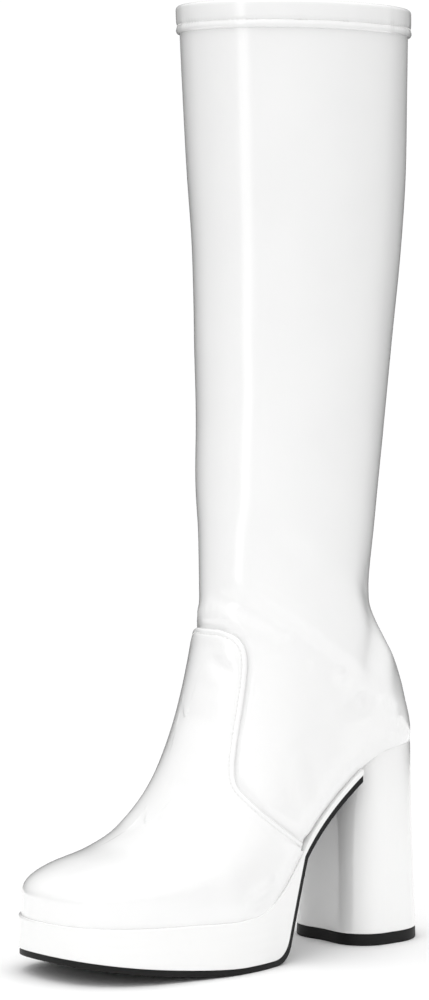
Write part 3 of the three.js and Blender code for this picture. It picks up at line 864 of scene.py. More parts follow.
@dataclass
class Vamp:
    """The second layer over the foot, with its turned and stitched edge."""

    lap: float = 0.0014
    roll: float = 0.0012
    rows: int = 320
    columns: int = 340
    band: float = 0.0042
    spacing: float = 0.0008
    border_rows: tuple[float, ...] = (
        0.0038, 0.00345, 0.00315, 0.0029, 0.0027, 0.0025, 0.00225, 0.0019, 0.00155, 0.0012,
    )
    border_tuck: tuple[float, float] = (0.0004, -0.00004)
    roll_turns: tuple[float, ...] = (18, 36, 54, 70, 84, 96)
    roll_end: float = -0.0002
    sunk: float = 0.001
    height: float = 0.173
    inner_shift: float = 0.003
    stitch_in: float = 0.0027
    pull_depth: float = 0.0011
    pull_off: float = 0.0014
    pull_width: float = 0.0026
    swell: float = 0.00025
    swell_in: float = 0.0052
    groove: float = 0.00028
    groove_width: float = 0.0008
    end_at: float = 1.03
    snap: float = 0.62
    margin_depth: float = 1.6
    pull_above: float = 0.012
    least_slant: float = 0.35
    edge_points: int = 180
    edge_lead: float = 0.08

    # the edge as seen from between front and side: half widths of the ball, shares of the vamp's height
    edge: tuple[tuple[float, float], ...] = (
        (0.1, 1), (0.285, 0.98), (0.39, 0.945), (0.43, 0.89), (0.42, 0.82), (0.38, 0.72), (0.33, 0.61),
        (0.305, 0.53), (0.315, 0.48), (0.36, 0.445), (0.48, 0.405), (0.63, 0.36), (0.8, 0.312), (1.01, 0.252),
        (1.2, 0.185),
    )

    def __post_init__(self) -> None:
        """Works out the edge as seen from between front and side."""
        rows = np.array(self.edge)
        front = LAST.ankle_front_y * math.sqrt(0.5)
        across = front + rows[:, 0] * LAST.ball_width / 2
        up = LAST.platform_height + rows[:, 1] * (self.height - LAST.platform_height)
        line = spline(np.stack([across, up], 1), self.edge_points)
        self.line = np.vstack([[line[0, 0] - self.edge_lead, line[0, 1]], line])

    def pull(self, points: Array, normals: Array) -> Array:
        """How far the seam's pull sinks the upper beside the vamp's edge.

        Args:
            points, normals: places on the upper's face, of any shape.
        """
        low = points[..., 2] < self.height + self.pull_above
        out = np.zeros(points.shape[:-1])
        inside = self.reach(points[low], normals[low])[0]
        out[low] = self.pull_depth * np.exp(-(((inside + self.pull_off) / self.pull_width) ** 2))
        return out

    def reach(self, points: Array, normals: Array) -> tuple[Array, Array]:
        """How far inside the vamp's edge each point lies along the face.

        Args:
            points, normals: places on the upper's face, one row each.

        Returns:
            The distance, negative outside, and the direction on the face in which it grows.
        """
        best = np.full(len(points), np.inf)
        grow = np.zeros_like(points)
        for side, shift in ((1, 0.0), (-1, self.inner_shift)):
            axis = np.array([side, 1, 0]) * math.sqrt(0.5)
            flat = np.stack([points @ axis - shift, points[:, 2]], 1)
            distance, direction = self._signed(flat)
            way = direction[:, :1] * axis + direction[:, 1:] * np.array([0, 0, 1.0])
            way -= normals * np.sum(way * normals, 1, keepdims=True)
            size = np.linalg.norm(way, axis=1)
            # where the face looks along the view, the edge isn't seen from here
            distance = distance / np.maximum(size, self.least_slant)
            closer = distance < best
            best = np.where(closer, distance, best)
            grow[closer] = (way / np.maximum(size, 1e-6)[:, None])[closer]
        return best, grow

    def _signed(self, flat: Array) -> tuple[Array, Array]:
        """Signed distance to the edge line in its own plane, and the direction in which it grows."""
        a, b = self.line[:-1], self.line[1:]
        run = b - a
        best = np.full(len(flat), np.inf)
        near = np.zeros_like(flat)
        side = np.zeros(len(flat))
        for start, step in zip(a, run):
            t = np.clip(((flat - start) @ step) / (step @ step), 0, 1)
            foot = start + t[:, None] * step
            d = np.linalg.norm(flat - foot, axis=1)
            closer = d < best
            best = np.where(closer, d, best)
            near[closer] = foot[closer]
            turned = step[0] * (flat[:, 1] - start[1]) - step[1] * (flat[:, 0] - start[0])
            side = np.where(closer, -np.sign(turned), side)
        away = (flat - near) / np.maximum(best, 1e-9)[:, None]
        return best * side, away * side[:, None]

    def moved_to(self, at: Array, angle: Array, inside: float) -> tuple[Array, Array]:
        """Slides places along the face until they lie a distance inside the edge."""
        for _ in range(3):
            miss, way = self.reach(*LAST.face(at, angle))
            at, angle = LAST.slide(at, angle, way * (inside - miss)[:, None])
        return at, angle

    def skin(self, at: Array, angle: Array, inside: Array, lift: float = 0.0) -> Array:
        """The vamp's outer face.

        Args:
            at, angle: places on the last.
            inside: how far inside the edge each lies.
            lift: how much further out the points go.
        """
        base, normals = LAST.face(at, angle)
        raised = relief(base, CREASES + VAMP_CREASES)
        raised += self.swell * np.exp(-(((inside - self.swell_in) / self.pull_width) ** 2))
        raised -= self.groove * np.exp(-(((inside - self.stitch_in) / self.groove_width) ** 2))
        out = base + normals * (self.lap + lift + raised)[:, None]
        out[:, 2] = np.maximum(out[:, 2], LAST.bottom_at(out[:, 1]) - self.sunk)
        return out

    def build(self) -> None:
        """Makes the vamp, its rolled edge and its stitches."""
        at, angle = (places.ravel() for places in LAST.grid(NET_START, self.end_at, self.rows, self.columns))
        base = LAST.point(at, angle)
        mesh = float(np.median(np.linalg.norm(np.diff(base.reshape(self.rows, -1, 3), axis=1), axis=2)))
        inside = self.reach(base, LAST.normal(at, angle))[0]
        close = np.abs(inside - self.band) < self.snap * mesh
        at[close], angle[close] = self.moved_to(at[close], angle[close], self.band)
        inside[close] = self.band
        skin = self.skin(at, angle, inside)
        feather = LAST.bottom_at(base[:, 1])
        deep = base[:, 2] < feather - self.margin_depth * self.band
        kept = inside > self.band - 1e-6
        faces = []
        for face in net_faces(self.rows, self.columns, True):
            corners = [v for v in face if kept[v]]
            if len(corners) >= 3 and not all(deep[v] for v in corners) and not all(close[v] for v in corners):
                faces.append(tuple(corners))
        faces += fan(len(skin), self.columns)
        skin = np.vstack([skin, skin[:self.columns].mean(0) - TIP_AHEAD])
        chain = self._chain(faces, np.append(close, False))
        log.info("vamp: mesh %.2f mm, edge of %d points", mesh * 1000, len(chain))
        at, angle = self._evened(at[chain], angle[chain])
        border, border_faces = self._border(at, angle, len(skin))
        points = np.vstack([skin, border])
        used = np.unique(np.concatenate([np.ravel(f) for f in faces + border_faces]))
        number = np.full(len(points), -1)
        number[used] = np.arange(len(used))
        faces = [tuple(number[list(f)]) for f in faces + border_faces]
        vamp = make_piece("vamp_overlay", points[used], faces)
        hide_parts("vamp")
        WARDROBE.dress(vamp, PATENT)
        at, angle = self.moved_to(at, angle, self.stitch_in)
        line = self.skin(at, angle, np.full(len(at), self.stitch_in))
        Stitches("vamp_stitches", line, LAST.normal(at, angle), False).build()

    def _chain(self, faces: Faces, on_edge: Array) -> list[int]:
        """The vertices along the vamp's edge, in order from one side of the foot to the other."""
        seen: dict[tuple[int, int], int] = {}
        for face in faces:
            for a, b in zip(face, face[1:] + face[:1]):
                seen[(a, b)] = seen.get((a, b), 0) + 1
        after = {a: b for a, b in seen if (b, a) not in seen and on_edge[a] and on_edge[b]}
        starts = set(after) - set(after.values())
        chains = []
        for start in starts:
            chain = [start]
            while chain[-1] in after:
                chain.append(after[chain[-1]])
            chains.append(chain)
        return max(chains, key=len)

    def _evened(self, at: Array, angle: Array) -> tuple[Array, Array]:
        """Evenly spaced places along the border's line, free of those where the chain steps back."""
        points, normals = LAST.face(at, angle)
        ahead = np.cross(normals, self.reach(points, normals)[1])
        ahead *= np.sign(np.sum(ahead[:-1] * np.diff(points, axis=0)))
        kept = [0]
        for i in range(1, len(at)):
            if ahead[kept[-1]] @ (points[i] - points[kept[-1]]) > self.spacing / 2:
                kept.append(i)
        run = lengths_along(points[kept])
        where = np.linspace(0, run[-1], int(run[-1] / self.spacing))
        return np.interp(where, run, at[kept]), np.interp(where, run, np.unwrap(angle[kept]))

    def _border(self, at: Array, angle: Array, start: int) -> tuple[Array, list]:
        """The border as even rows of vertices, from under the skin to the edge and round it to the upper.

        Args:
            at, angle: places along the border's line.
            start: number of the first new vertex.

        Returns:
            The new vertices and faces.
        """
        rings = []
        inward, lift = self.border_tuck
        for inside, lift in ((self.band + inward, lift), *((row, 0.0) for row in self.border_rows)):
            at, angle = self.moved_to(at, angle, inside)
            rings.append(self.skin(at, angle, np.full(len(at), inside), lift))
        way = self.reach(*LAST.face(at, angle))[1]
        for turn in np.radians(self.roll_turns):
            up = self.lap * math.cos(turn) if turn < math.pi / 2 else self.roll_end
            ring = self.skin(at, angle, np.full(len(at), inside), up - self.lap)
            rings.append(ring - way * self.roll * math.sin(turn))
        quads = net_faces(len(rings), len(at), False, start)
        along, across = rings[0][1] - rings[0][0], rings[1][0] - rings[0][0]
        outward = np.cross(along, across) @ LAST.normal(at[:1], angle[:1])[0]
        return np.vstack(rings), quads if outward > 0 else [q[::-1] for q in quads]


@dataclass
class Stitches:
    """A row of sewn stitches along a line on a face."""

    name: str
    line: Array
    normals: Array
    closed: bool
    pitch: float = 0.0024
    length: float = 0.0019
    radius: float = 0.00022
    sides: int = 8

    # along the stitch as a share of its length, its thickness and its rise as shares of the radius
    section: tuple[tuple[float, float, float], ...] = (
        (-0.5, 0.0, -0.6), (-0.46, 0.6, -0.35), (-0.34, 0.95, 0.1), (0, 1.0, 0.45), (0.34, 0.95, 0.1),
        (0.46, 0.6, -0.35), (0.5, 0.0, -0.6),
    )
    thinnest: float = 0.02
    look_ahead: float = 0.0004

    def build(self) -> None:
        """Makes the stitches as one joined mesh."""
        line, normals = self.line, self.normals
        if self.closed:
            line, normals = np.vstack([line, line[:1]]), np.vstack([normals, normals[:1]])
        run = lengths_along(line)
        count = int(run[-1] / self.pitch)
        middles = (np.arange(count) + 0.5) * run[-1] / count

        def along(where: Array, values: Array) -> Array:
            """Values at distances along the line."""
            return np.stack([np.interp(where, run, values[:, k]) for k in range(3)], 1)

        turns = full_turn(self.sides)[:, None]
        rings = []
        for share, size, rise in self.section:
            where = middles + share * self.length
            centre = along(where, line)
            up = unit(along(where, normals))
            ahead = unit(along(where + self.look_ahead, line) - along(where - self.look_ahead, line))
            beside = unit(np.cross(ahead, up))
            ways = np.cos(turns) * beside[:, None] + np.sin(turns) * up[:, None]
            middle = centre[:, None] + up[:, None] * self.radius * rise
            rings.append(middle + max(size, self.thinnest) * self.radius * ways)
        points = np.stack(rings, 1)
        per = len(rings) * self.sides
        faces = []
        one = net_faces(len(rings), self.sides, True)
        ends = [tuple(range(self.sides))[::-1], tuple(range(per - self.sides, per))]
        for k in range(count):
            faces += [tuple(v + k * per for v in f) for f in one + ends]
        piece = make_piece(self.name, points, faces)
        WARDROBE.dress(piece, THREAD)


# Collar


@dataclass
class CollarHem:
    """The folded hem round the topline, with a bead under its stitches."""

    height: float = 0.0145
    stitch_down: float = 0.0102
    thickness: float = 0.0015
    fold: float = 0.0021
    inside: float = 0.012
    columns: int = 420
    gather: float = 0.00013
    gather_pitch: float = 0.0027
    gather_width: float = 0.002
    # slow waves round the hem, as how many, how deep and where they begin
    waves: tuple[tuple[int, float, float], ...] = ((17, 0.6, 0.7), (29, 0.5, 2.1), (43, 0.3, 0.0))
    upper_wall: float = 0.0018
    lining_room: float = 0.0009
    under_end: float = -0.0017
    groove_level: float = 0.72

    def profile(self) -> list[tuple[float, float]]:
        """The hem's section as (below the topline, out from the face), from its lower edge over the top."""
        t, h, s = self.thickness, self.height, self.stitch_down
        outside = [
            (h, -0.0002), (h - 0.0001, 0.35 * t), (h - 0.0004, 0.85 * t), (h - 0.001, 1.15 * t),
            (h - 0.0018, 1.25 * t), (h - 0.0026, 1.15 * t), (s + 0.0008, 0.95 * t), (s + 0.0003, 0.78 * t),
            (s, self.groove_level * t), (s - 0.0003, 0.78 * t), (s - 0.0009, 0.95 * t),
            (s - 0.0018, 1.05 * t), (0.75 * s, 1.08 * t), (0.6 * s, 1.08 * t), (0.45 * s, 1.08 * t),
            (0.33 * s, 1.06 * t),
        ]
        face = 1.04 * t
        half = (face + self.upper_wall + self.lining_room) / 2
        centre = face - half
        over = [
            (self.fold * (1 - math.sin(a)), centre + half * math.cos(a))
            for a in np.linspace(0, math.pi, 13)
        ]
        within = [(self.fold + share * (self.inside - self.fold), centre - half) for share in (0.3, 0.6, 0.9)]
        end = [(self.inside, centre - half + 0.0002), (self.inside, self.under_end)]
        return outside + over + within + end

    def build(self) -> None:
        """Makes the hem and its stitches."""
        fine = np.linspace(0, 2 * math.pi, 4001)
        ring = LAST.point(np.full(len(fine), 2.0), fine)
        run = lengths_along(ring)
        angle = np.interp(np.linspace(0, run[-1], self.columns + 1)[:-1], run, fine)
        around = full_turn(self.columns)
        stitches = round(run[-1] / self.gather_pitch)
        slow = sum(size * np.sin(count * around + start) for count, size, start in self.waves)
        rings = []
        for below, out in self.profile():
            at = LAST.at_height(angle, max(below, 0.0))
            base, normals = LAST.face(at, angle)
            sewn = math.exp(-(((below - self.stitch_down) / self.gather_width) ** 2)) if out > 0 else 0.0
            moved = out + self.gather * (slow * (0.4 + sewn) - 0.5 * sewn * np.cos(stitches * around))
            point = base + normals * moved[:, None]
            point[:, 2] = LAST.topline(base[:, 1]) - below
            rings.append(point)
        points = np.stack(rings)
        faces = net_faces(len(rings), self.columns, True)
        hem = make_piece("hem_band", points, faces)
        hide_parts("collar_hem")
        WARDROBE.dress(hem, PATENT)
        at = LAST.at_height(angle, self.stitch_down)
        base, normals = LAST.face(at, angle)
        line = base + normals * self.groove_level * self.thickness
        Stitches("hem_stitches", line, normals, True).build()


# Sole


@dataclass
class SoleSizes:
    """Sizes that the platform, the outsole and the heel share."""

    margin: float = 0.0026
    outsole: float = 0.003
    flap: float = 0.003
    outsole_inset: float = 0.0005
    toe_spring: float = 0.010
    spring_length: float = 0.091
    spring_power: float = 1.5
    tread_length: float = 0.123
    back_lean: float = 18.5
    back_radius: float = 0.014
    rim: float = 0.003
    gap: float = 0.0003
    top_piece: float = 0.006
    heel_foot_length: float = 0.057
    heel_foot_width: float = 0.063
    heel_top_length: float = 0.0505
    heel_top_margin: float = 0.0004
    breast_hollow: float = 0.0010
    breast_corner: float = 0.018
    ripple_depth: float = 0.00007
    ripple_pitch: float = 0.0052
    ripple_top: float = 0.04
    ripple_fade: float = 0.01
    groove_depth: float = 0.0009
    groove_pitch: float = 0.006
    groove_slant: float = 0.35
    groove_middle: float = -0.004
    groove_from: float = 0.35
    groove_steepness: float = 3
    layer_gap: float = 0.00005

    def tread(self, floor: float, back: float) -> tuple[Array, Array]:
        """The tread seen from the side, up its back face, as Y and Z of a line.

        Args:
            floor, back: how far the line is held in from the outsole's underside.
        """
        toe_y, bend_y = LAST.toe_tip_y - self.margin, LAST.toe_tip_y + self.tread_length
        lean = math.radians(self.back_lean)
        u = np.linspace(1, 0, 40)
        toe_lead = 0.05
        y = toe_y + (1 - u) * self.spring_length
        z = floor + self.toe_spring * u**self.spring_power
        corner = np.array([bend_y - back / math.cos(lean) + floor * math.tan(lean), floor])
        tangent = self.back_radius * math.tan((math.pi / 2 - lean) / 2)
        a = corner - np.array([tangent, 0])
        b = corner + tangent * np.array([math.sin(lean), math.cos(lean)])
        t = np.linspace(0, 1, 30)[:, None]
        bend = a * (1 - t) ** 2 + 2 * corner * t * (1 - t) + b * t**2
        top = bend_y - back / math.cos(lean) + LAST.heel_height * math.tan(lean)
        return (np.concatenate([[toe_y - toe_lead], y, bend[:, 0], [top]]),
                np.concatenate([[z[0]], z, bend[:, 1], [LAST.heel_height]]))

    def under(self, y: Array, lowered: float) -> Array:
        """Height of the last's bottom line, lowered square to the line, at a Y."""
        share = np.linspace(1.1, -0.1, 600)
        step = 0.004
        rise = LAST.bottom_height(share - step) - LAST.bottom_height(share + step)
        run = 2 * step * LAST.last_length
        slant = np.hypot(rise, run)
        line_y = LAST.along_y(share) + lowered * rise / slant
        line_z = LAST.bottom_height(share) - lowered * run / slant
        return np.interp(y, line_y, line_z)

    def lower(self, y: Array, floor: float, back: float, rim: float) -> Array:
        """Underside of a layer of the sole: its tread, its back face and its rim under the waist."""
        line_y, line_z = self.tread(floor, back)
        return np.minimum(np.interp(y, line_y, line_z), self.under(y, rim))

    def outline(self, share: Array, side: int, offset: float) -> Array:
        """Points of the feather line moved out by a distance.

        Args:
            share: shares of the last's length.
            side: 1 for the outer side and -1 for the inner.
            offset: how far out.
        """
        turn, step = np.arccos(np.clip(1 - 2 * share, -1, 1)), 0.006

        def place(t: Array) -> Array:
            """Points of the feather line by their turn from the heel's back."""
            s = (1 - np.cos(t)) / 2
            middle, half, _ = LAST.feather(s)
            way = np.where(t > math.pi, -side, side)
            return np.stack([middle + way * half, LAST.along_y(s)], -1)

        tangent = unit(place(turn + step) - place(turn - step))
        return place(turn) + offset * side * np.stack([-tangent[..., 1], tangent[..., 0]], -1)


SOLE = SoleSizes()


@dataclass
class Layer:
    """A layer of the sole: a wall round its outline, with rounded edges and filled faces."""

    name: str
    top: Callable[[Array], Array]
    low: Callable[[Array], Array]
    margin: float
    top_round: float
    low_round: float
    stations: int = 360
    across: int = 24
    wall_rows: int = 12
    inset: float = 0.006
    ripple: Callable[[Array, Array], Array] | None = None
    relief: Callable[[Array, Array], Array] | None = None
    into_heel: float = 0.0024
    flat_from: float = 1.6
    least_room: float = 2.2

    def loops(self) -> list[tuple[float, float, float]]:
        """Rows of the section as (inset, share of the height, height added), from the top to the bottom."""
        quarter = np.linspace(0, math.pi / 2, 6)
        top, low = self.top_round, self.low_round
        rows = [(self.inset, 1.0, 0.0), (top * self.flat_from, 1.0, 0.0)]
        rows += [(top * (1 - math.sin(a)), 1.0, -top * (1 - math.cos(a))) for a in quarter]
        rows += [(0.0, 1 - k / (self.wall_rows + 1), 0.0) for k in range(1, self.wall_rows + 1)]
        rows += [(low * (1 - math.cos(a)), 0.0, low * (1 - math.sin(a))) for a in quarter]
        return rows + [(low * self.flat_from, 0.0, 0.0), (self.inset, 0.0, 0.0)]

    def build(self) -> bpy.types.Object:
        """Makes the layer as one mesh."""
        breast = LAST.share_at(-SOLE.heel_foot_length / 2 + self.into_heel)
        first = math.acos(1 - 2 * breast)
        turns = np.linspace(first, 2 * math.pi - first, 2 * self.stations - 1)
        share = (1 - np.cos(turns)) / 2
        side = np.where(turns > math.pi, -1, 1)
        rings = []
        for inset, portion, added in self.loops():
            held = self.margin - inset
            ring = np.where((side > 0)[:, None], SOLE.outline(share, 1, held), SOLE.outline(share, -1, held))
            ring[self.stations - 1] = (ring[self.stations - 2] + ring[self.stations]) / 2
            ring[self.stations - 1, 1] = LAST.toe_tip_y - held
            y = ring[:, 1]
            top, low = self.top(y), self.low(y)
            room = np.minimum(1.0, (top - low) / (self.least_room * (self.top_round + self.low_round)))
            wall_top, wall_low = top - self.top_round * room, low + self.low_round * room
            edge = wall_low + portion * (wall_top - wall_low)
            if portion in (0, 1):
                edge = top if portion else low
            z = edge + added * room
            if self.ripple is not None and 0 < portion < 1:
                middle = LAST.feather(share)[0]
                away = unit(np.stack([ring[:, 0] - middle, 0 * y], 1))
                ring = ring + away * self.ripple(y, z)[:, None]
            rings.append(np.column_stack([ring, z]))
        wall = np.stack(rings)
        count = wall.shape[1]
        faces = net_faces(len(rings), count, False)
        points = [wall.reshape(-1, 3)]
        start = wall.size // 3
        for row, flip in ((0, False), (len(rings) - 1, True)):
            left, right = wall[row, :self.stations], wall[row, ::-1][:self.stations]
            share_across = np.linspace(0, 1, self.across)[None, :, None]
            fill = left[:, None] * (1 - share_across) + right[:, None] * share_across
            if flip and self.relief is not None:
                fill[..., 2] += self.relief(fill[..., 0], fill[..., 1])
            quads = net_faces(self.stations, self.across, False, start)
            faces += [q[::-1] for q in quads] if flip else quads
            points.append(fill.reshape(-1, 3))
            start += fill.size // 3
        return make_piece(self.name, *weld(np.vstack(points), faces))


def weld(points: Array, faces: Faces, near: float = 2e-6) -> tuple[Array, Faces]:
    """Joins vertices that lie on each other, and drops faces that close up by it."""
    key = np.round(points / near).astype(np.int64)
    _, first, number = np.unique(key, axis=0, return_index=True, return_inverse=True)
    number = number.ravel()
    out = []
    for face in faces:
        ring = [int(number[v]) for v in face]
        ring = [v for i, v in enumerate(ring) if v != ring[i - 1]]
        if len(set(ring)) == len(ring) and len(ring) >= 3:
            out.append(tuple(ring))
    return points[first], out


def platform_top(y: Array) -> Array:
    """Top of the platform at a Y."""
    return SOLE.under(y, SOLE.gap)


def platform_low(y: Array) -> Array:
    """Underside of the platform at a Y."""
    return SOLE.lower(y, SOLE.outsole + SOLE.gap, SOLE.flap + SOLE.gap, SOLE.rim)


def outsole_top(y: Array) -> Array:
    """Top of the outsole at a Y, against the platform."""
    return platform_low(y) - SOLE.layer_gap


def outsole_low(y: Array) -> Array:
    """Underside of the outsole at a Y."""
    return SOLE.lower(y, 0.0, 0.0, SOLE.rim + SOLE.gap + SOLE.flap)


def wrap_ripple(y: Array, z: Array) -> Array:
    """Faint level lines in the wrap round the platform."""
    fade = np.clip((SOLE.ripple_top - z) / SOLE.ripple_fade, 0, 1)
    return SOLE.ripple_depth * np.sin(z / SOLE.ripple_pitch * 2 * math.pi) * fade


def tread_relief(x: Array, y: Array) -> Array:
    """Grooves of the tread, as how far they lie above the ground."""
    lane = np.sin((y + SOLE.groove_slant * np.abs(x - SOLE.groove_middle)) / SOLE.groove_pitch * 2 * math.pi)
    return SOLE.groove_depth * np.clip((lane - SOLE.groove_from) * SOLE.groove_steepness, 0, 1)


@dataclass
class Heel:
    """The wrapped block heel and the black piece under it."""

    side_steps: int = 40
    corner_steps: int = 14
    hollow_steps: int = 30
    rows: int = 60
    edge_round: float = 0.0007
    cup: float = 0.0006
    tip_inset: float = 0.0003
    tip_low_round: float = 0.0008
    tip_top_round: float = 0.0004
    level_step: float = 0.05
    levels: int = 23

    def outline(self, t: Array | float, inset: float) -> Array:
        """The heel's outline at a share of its height, a closed ring of [x, y] points.

        Args:
            t: 0 at the floor, 1 at the heel seat's height.
            inset: how far the ring is held in.
        """
        top_width = LAST.seat_width + 2 * SOLE.heel_top_margin
        half = (SOLE.heel_foot_width + t * (top_width - SOLE.heel_foot_width)) / 2
        foot_back = SOLE.heel_foot_length / 2
        back = foot_back + t * (LAST.seat_back_y + SOLE.heel_top_margin - foot_back) - inset
        front = -foot_back + t * (LAST.seat_back_y - SOLE.heel_top_length + foot_back) + inset
        half = half - inset
        round_length = LAST.heel_end[0] * LAST.last_length
        u = np.sin(np.linspace(1, 0, self.side_steps + 1) * math.pi / 2)
        side = np.stack([half * round_end(u, LAST.heel_end[1]), back - round_length * (1 - u)], 1)
        a = np.linspace(0, math.pi / 2, self.corner_steps + 1)
        r = SOLE.breast_corner
        corner = np.stack([half - r + r * np.cos(a), front + r - r * np.sin(a)], 1)
        w = np.linspace(1, -1, self.hollow_steps + 1)[1:-1]
        deep = SOLE.breast_hollow * max(0.0, 1 - t)
        hollow = np.stack([w * (half - r), front + deep * (1 - w * w) ** 2], 1)
        outer = np.vstack([side, corner])
        inner = outer[1:][::-1] * np.array([-1, 1])
        return np.vstack([outer, hollow, inner])

    def ring(self, z: Array, inset: float) -> Array:
        """The outline with each point at its own height."""
        ring = np.empty((len(z), 3))
        levels = np.linspace(0, (self.levels - 1) * self.level_step, self.levels)
        table = np.stack([self.outline(t, inset) for t in levels])
        t = np.clip(z / LAST.heel_height, 0, levels[-1])
        k = np.minimum((t / self.level_step).astype(int), len(levels) - 2)
        f = (t / self.level_step - k)[:, None]
        number = np.arange(len(z))
        ring[:, :2] = table[k, number] * (1 - f) + table[k + 1, number] * f
        ring[:, 2] = z
        return ring

    def stacked(self, name: str, rings: list[Array]) -> bpy.types.Object:
        """A closed piece from rings, from its bottom to its top."""
        points = np.stack(rings)
        rows, columns = points.shape[:2]
        faces = [f[::-1] for f in net_faces(rows, columns, True)]
        faces.append(tuple(range(columns)))
        faces.append(tuple(range((rows - 1) * columns, rows * columns))[::-1])
        return make_piece(name, points, faces)

    def build(self) -> None:
        """Makes the heel block and its top piece."""
        count = len(self.outline(0.0, 0.0))
        low = SOLE.top_piece + SOLE.gap
        top = np.full(count, LAST.heel_height)
        for _ in range(5):
            top = LAST.bottom_at(self.ring(top, 0.0)[:, 1]) + self.cup
        r = self.edge_round
        rings = self._edge(low, r, count, True)
        for share in np.linspace(0, 1, self.rows)[1:]:
            rings.append(self.ring(low + r + share * (top - low - r), 0.0))
        heel = self.stacked("heel_wrap", rings)
        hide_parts("heel_block")
        soften(heel, 50)
        WARDROBE.dress(heel, WRAP)
        inset, thickness = self.tip_inset, SOLE.top_piece
        piece = self._edge(0.0, self.tip_low_round, count, True, inset)
        levels = np.linspace(0.0012, thickness - 0.0004, 8)
        piece += [self.ring(np.full(count, z), inset) for z in levels]
        piece += self._edge(thickness + 0.0002, self.tip_top_round, count, False, inset)
        lift = self.stacked("heel_tip", piece)
        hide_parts("heel_top_piece")
        soften(lift, 60)
        WARDROBE.dress(lift, RUBBER)

    def _edge(self, z: float, r: float, count: int, lower: bool, inset: float = 0.0) -> list[Array]:
        """Rings of a rounded edge, from below upwards.

        Args:
            z: height of the flat face.
            r: radius.
            count: points in a ring.
            lower: whether it is the piece's lower edge.
            inset: how far the whole ring is held in.
        """
        rings = []
        for a in np.linspace(0, math.pi / 2, 6):
            a = a if lower else math.pi / 2 - a
            up = r * (1 - math.cos(a))
            held = inset + r * (1 - math.sin(a))
            rings.append(self.ring(np.full(count, z + up if lower else z - up), held))
        return rings


def build_sole() -> None:
    """Makes the platform and the outsole."""
    platform = Layer("platform_body", platform_top, platform_low, SOLE.margin,
                     top_round=0.0009, low_round=0.0006, ripple=wrap_ripple)
    piece = platform.build()
    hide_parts("platform")
    soften(piece, 50)
    WARDROBE.dress(piece, WRAP)
    outsole = Layer("outsole_rubber", outsole_top, outsole_low, SOLE.margin - SOLE.outsole_inset,
                    top_round=0.0003, low_round=0.0006, stations=520, across=60, wall_rows=4, inset=0.004,
                    relief=tread_relief)
    piece = outsole.build()
    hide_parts("outsole")
    soften(piece, 50)
    WARDROBE.dress(piece, RUBBER)


# Studio


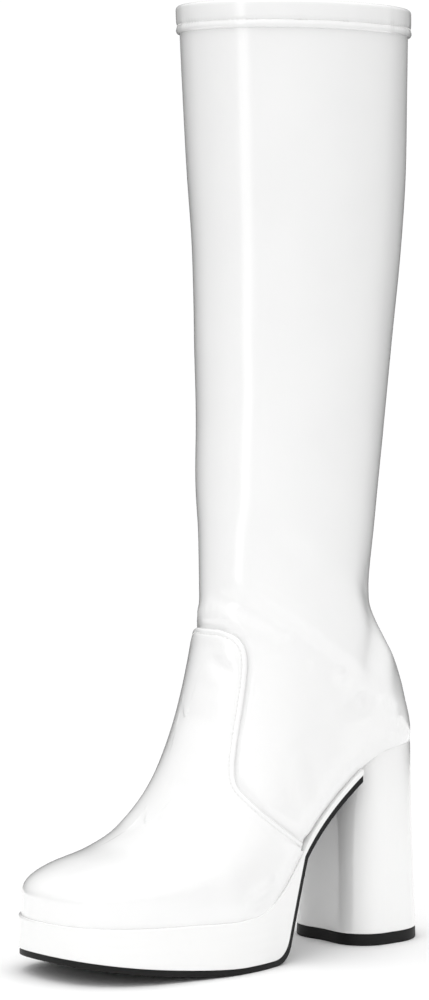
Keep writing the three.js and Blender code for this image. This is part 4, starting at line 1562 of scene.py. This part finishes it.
@dataclass
class Studio:
    """The floor, the light and the camera."""

    eye: tuple[float, float, float] = (1.38329, -1.26377, 0.338)
    azimuth: float = 50.0
    pitch: float = 3.104
    lens: float = 125.06
    reach: float = 9.0
    sides: int = 96
    levels: int = 48
    floor_radius: float = 0.8
    aim: tuple[float, float, float] = (0.0, -0.06, 0.24)
    middle: float = 0.55
    front_gain: float = 0.28
    left_gain: float = -0.06
    darkness: float = 0.78
    dark_from: float = 0.34
    dark_soft: float = 0.3
    zenith: float = 1.38

    def camera(self) -> None:
        """Places the camera as the photograph's was."""
        data = bpy.data.cameras.new("camera")
        data.lens = self.lens
        data.clip_start, data.clip_end = 0.05, 50
        data.dof.use_dof = False
        camera = placed("camera", data)
        a, p = math.radians(self.azimuth), math.radians(self.pitch)
        ahead = Vector((-math.sin(a) * math.cos(p), math.cos(a) * math.cos(p), -math.sin(p)))
        camera.location = self.eye
        camera.rotation_mode = "QUATERNION"
        camera.rotation_quaternion = ahead.to_track_quat("-Z", "Y")
        bpy.context.scene.camera = camera

    def floor(self) -> None:
        """A plain pale floor, and a pale surround that only the camera sees."""
        turn = full_turn(self.sides)
        ring = np.stack([np.cos(turn), np.sin(turn), 0 * turn], 1)
        disc = [tuple(range(self.sides))]
        floor = self._stage("floor", self.floor_radius * ring, disc, albedo=0.95, glow=0.0)
        levels = np.radians(np.linspace(-90, 90, self.levels))
        ball = [self.reach * (ring * math.cos(a) + np.array([0, 0, math.sin(a)])) for a in levels]
        faces = net_faces(self.levels, self.sides, True)
        surround = self._stage("surround", np.concatenate(ball), faces, albedo=0.0, glow=1.02)
        for name in ("visible_diffuse", "visible_glossy", "visible_transmission", "visible_shadow"):
            setattr(surround, name, False)
        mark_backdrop(floor, surround)

    def _stage(self, name: str, points: Array, faces: Faces, albedo: float, glow: float) -> bpy.types.Object:
        """A mesh of the studio with a plain pale surface."""
        data = bpy.data.meshes.new(name)
        data.from_pydata(points.tolist(), [], [list(f) for f in faces])
        made = bpy.data.materials.new(name)
        Shader(made).surface({
            "Base Color": (albedo, albedo, albedo, 1), "Roughness": 0.9, "Specular IOR Level": 0.1,
            "Emission Color": (1, 1, 1, 1), "Emission Strength": glow,
        })
        data.materials.append(made)
        return placed(name, data)

    def sky(self) -> None:
        """Even light all round: brightest overhead, dimmer to one side, and dark right behind the boot."""
        world = bpy.data.worlds.new("studio")
        bpy.context.scene.world = world
        shader = Shader(world)
        way = shader.node("ShaderNodeTexCoord", output="Generated")
        split = shader.node("ShaderNodeSeparateXYZ", {}, {0: way})
        x, y, z = (Wire(shader, socket) for socket in split.socket.node.outputs)
        a = math.radians(self.azimuth)
        front = x * math.sin(a) - y * math.cos(a)
        left = x * -math.cos(a) - y * math.sin(a)
        up = z.clamped()
        side = self.middle + front * self.front_gain + left * self.left_gain
        dark = 1 - ((front * -1 - self.dark_from) / self.dark_soft).clamped() * self.darkness
        strength = (side * dark).clamped(0, 2) * (1 - up) + up * self.zenith
        light = shader.node("ShaderNodeBackground", {}, {"Color": (1, 1, 1, 1), "Strength": strength})
        shader.end("ShaderNodeOutputWorld", light)

    def lamp(
        self, name: str, turn: float, distance: float, height: float, size: tuple[float, float], power: float,
    ) -> None:
        """A soft box that looks at the boot.

        Args:
            name: its name.
            turn: where it stands, in degrees round from -Y towards +X.
            distance, height: how far off and how high it stands.
            size: its width and height.
            power: its power in watts.
        """
        data = bpy.data.lights.new(name, "AREA")
        data.shape = "RECTANGLE"
        data.size, data.size_y = size
        data.energy = power
        lamp = placed(name, data)
        a = math.radians(turn)
        lamp.location = (math.sin(a) * distance, -math.cos(a) * distance, height)
        lamp.rotation_mode = "QUATERNION"
        lamp.rotation_quaternion = (Vector(self.aim) - lamp.location).to_track_quat("-Z", "Y")
        lamp.visible_camera = False

    def build(self) -> None:
        """Sets the stage, the lights and the camera."""
        self.camera()
        self.floor()
        self.sky()
        self.lamp("front_strip", turn=17, distance=1.7, height=0.6, size=(0.42, 1.5), power=2)
        self.lamp("top_box", turn=20, distance=0.7, height=1.9, size=(1.4, 1.4), power=4)
        scene = bpy.context.scene
        scene.view_settings.view_transform = "Standard"
        scene.view_settings.look = "None"


def dress_insole() -> None:
    """Gives the board inside its textile."""
    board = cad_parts["insole"]
    WARDROBE.dress(board, LINING)


def main() -> None:
    """Builds the boot's pieces in order and reports each."""
    Studio().build()
    for name, build in (
        ("upper and lining", Upper().build),
        ("vamp and its stitches", Vamp().build),
        ("collar hem and its stitches", CollarHem().build),
        ("platform and outsole", build_sole),
        ("heel and its top piece", Heel().build),
        ("insole", dress_insole),
    ):
        build()
        log.info("built %s", name)
    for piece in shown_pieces():
        log.info("%s: %d faces", piece.name, len(piece.data.polygons))


if __name__ == "__main__":
    main()
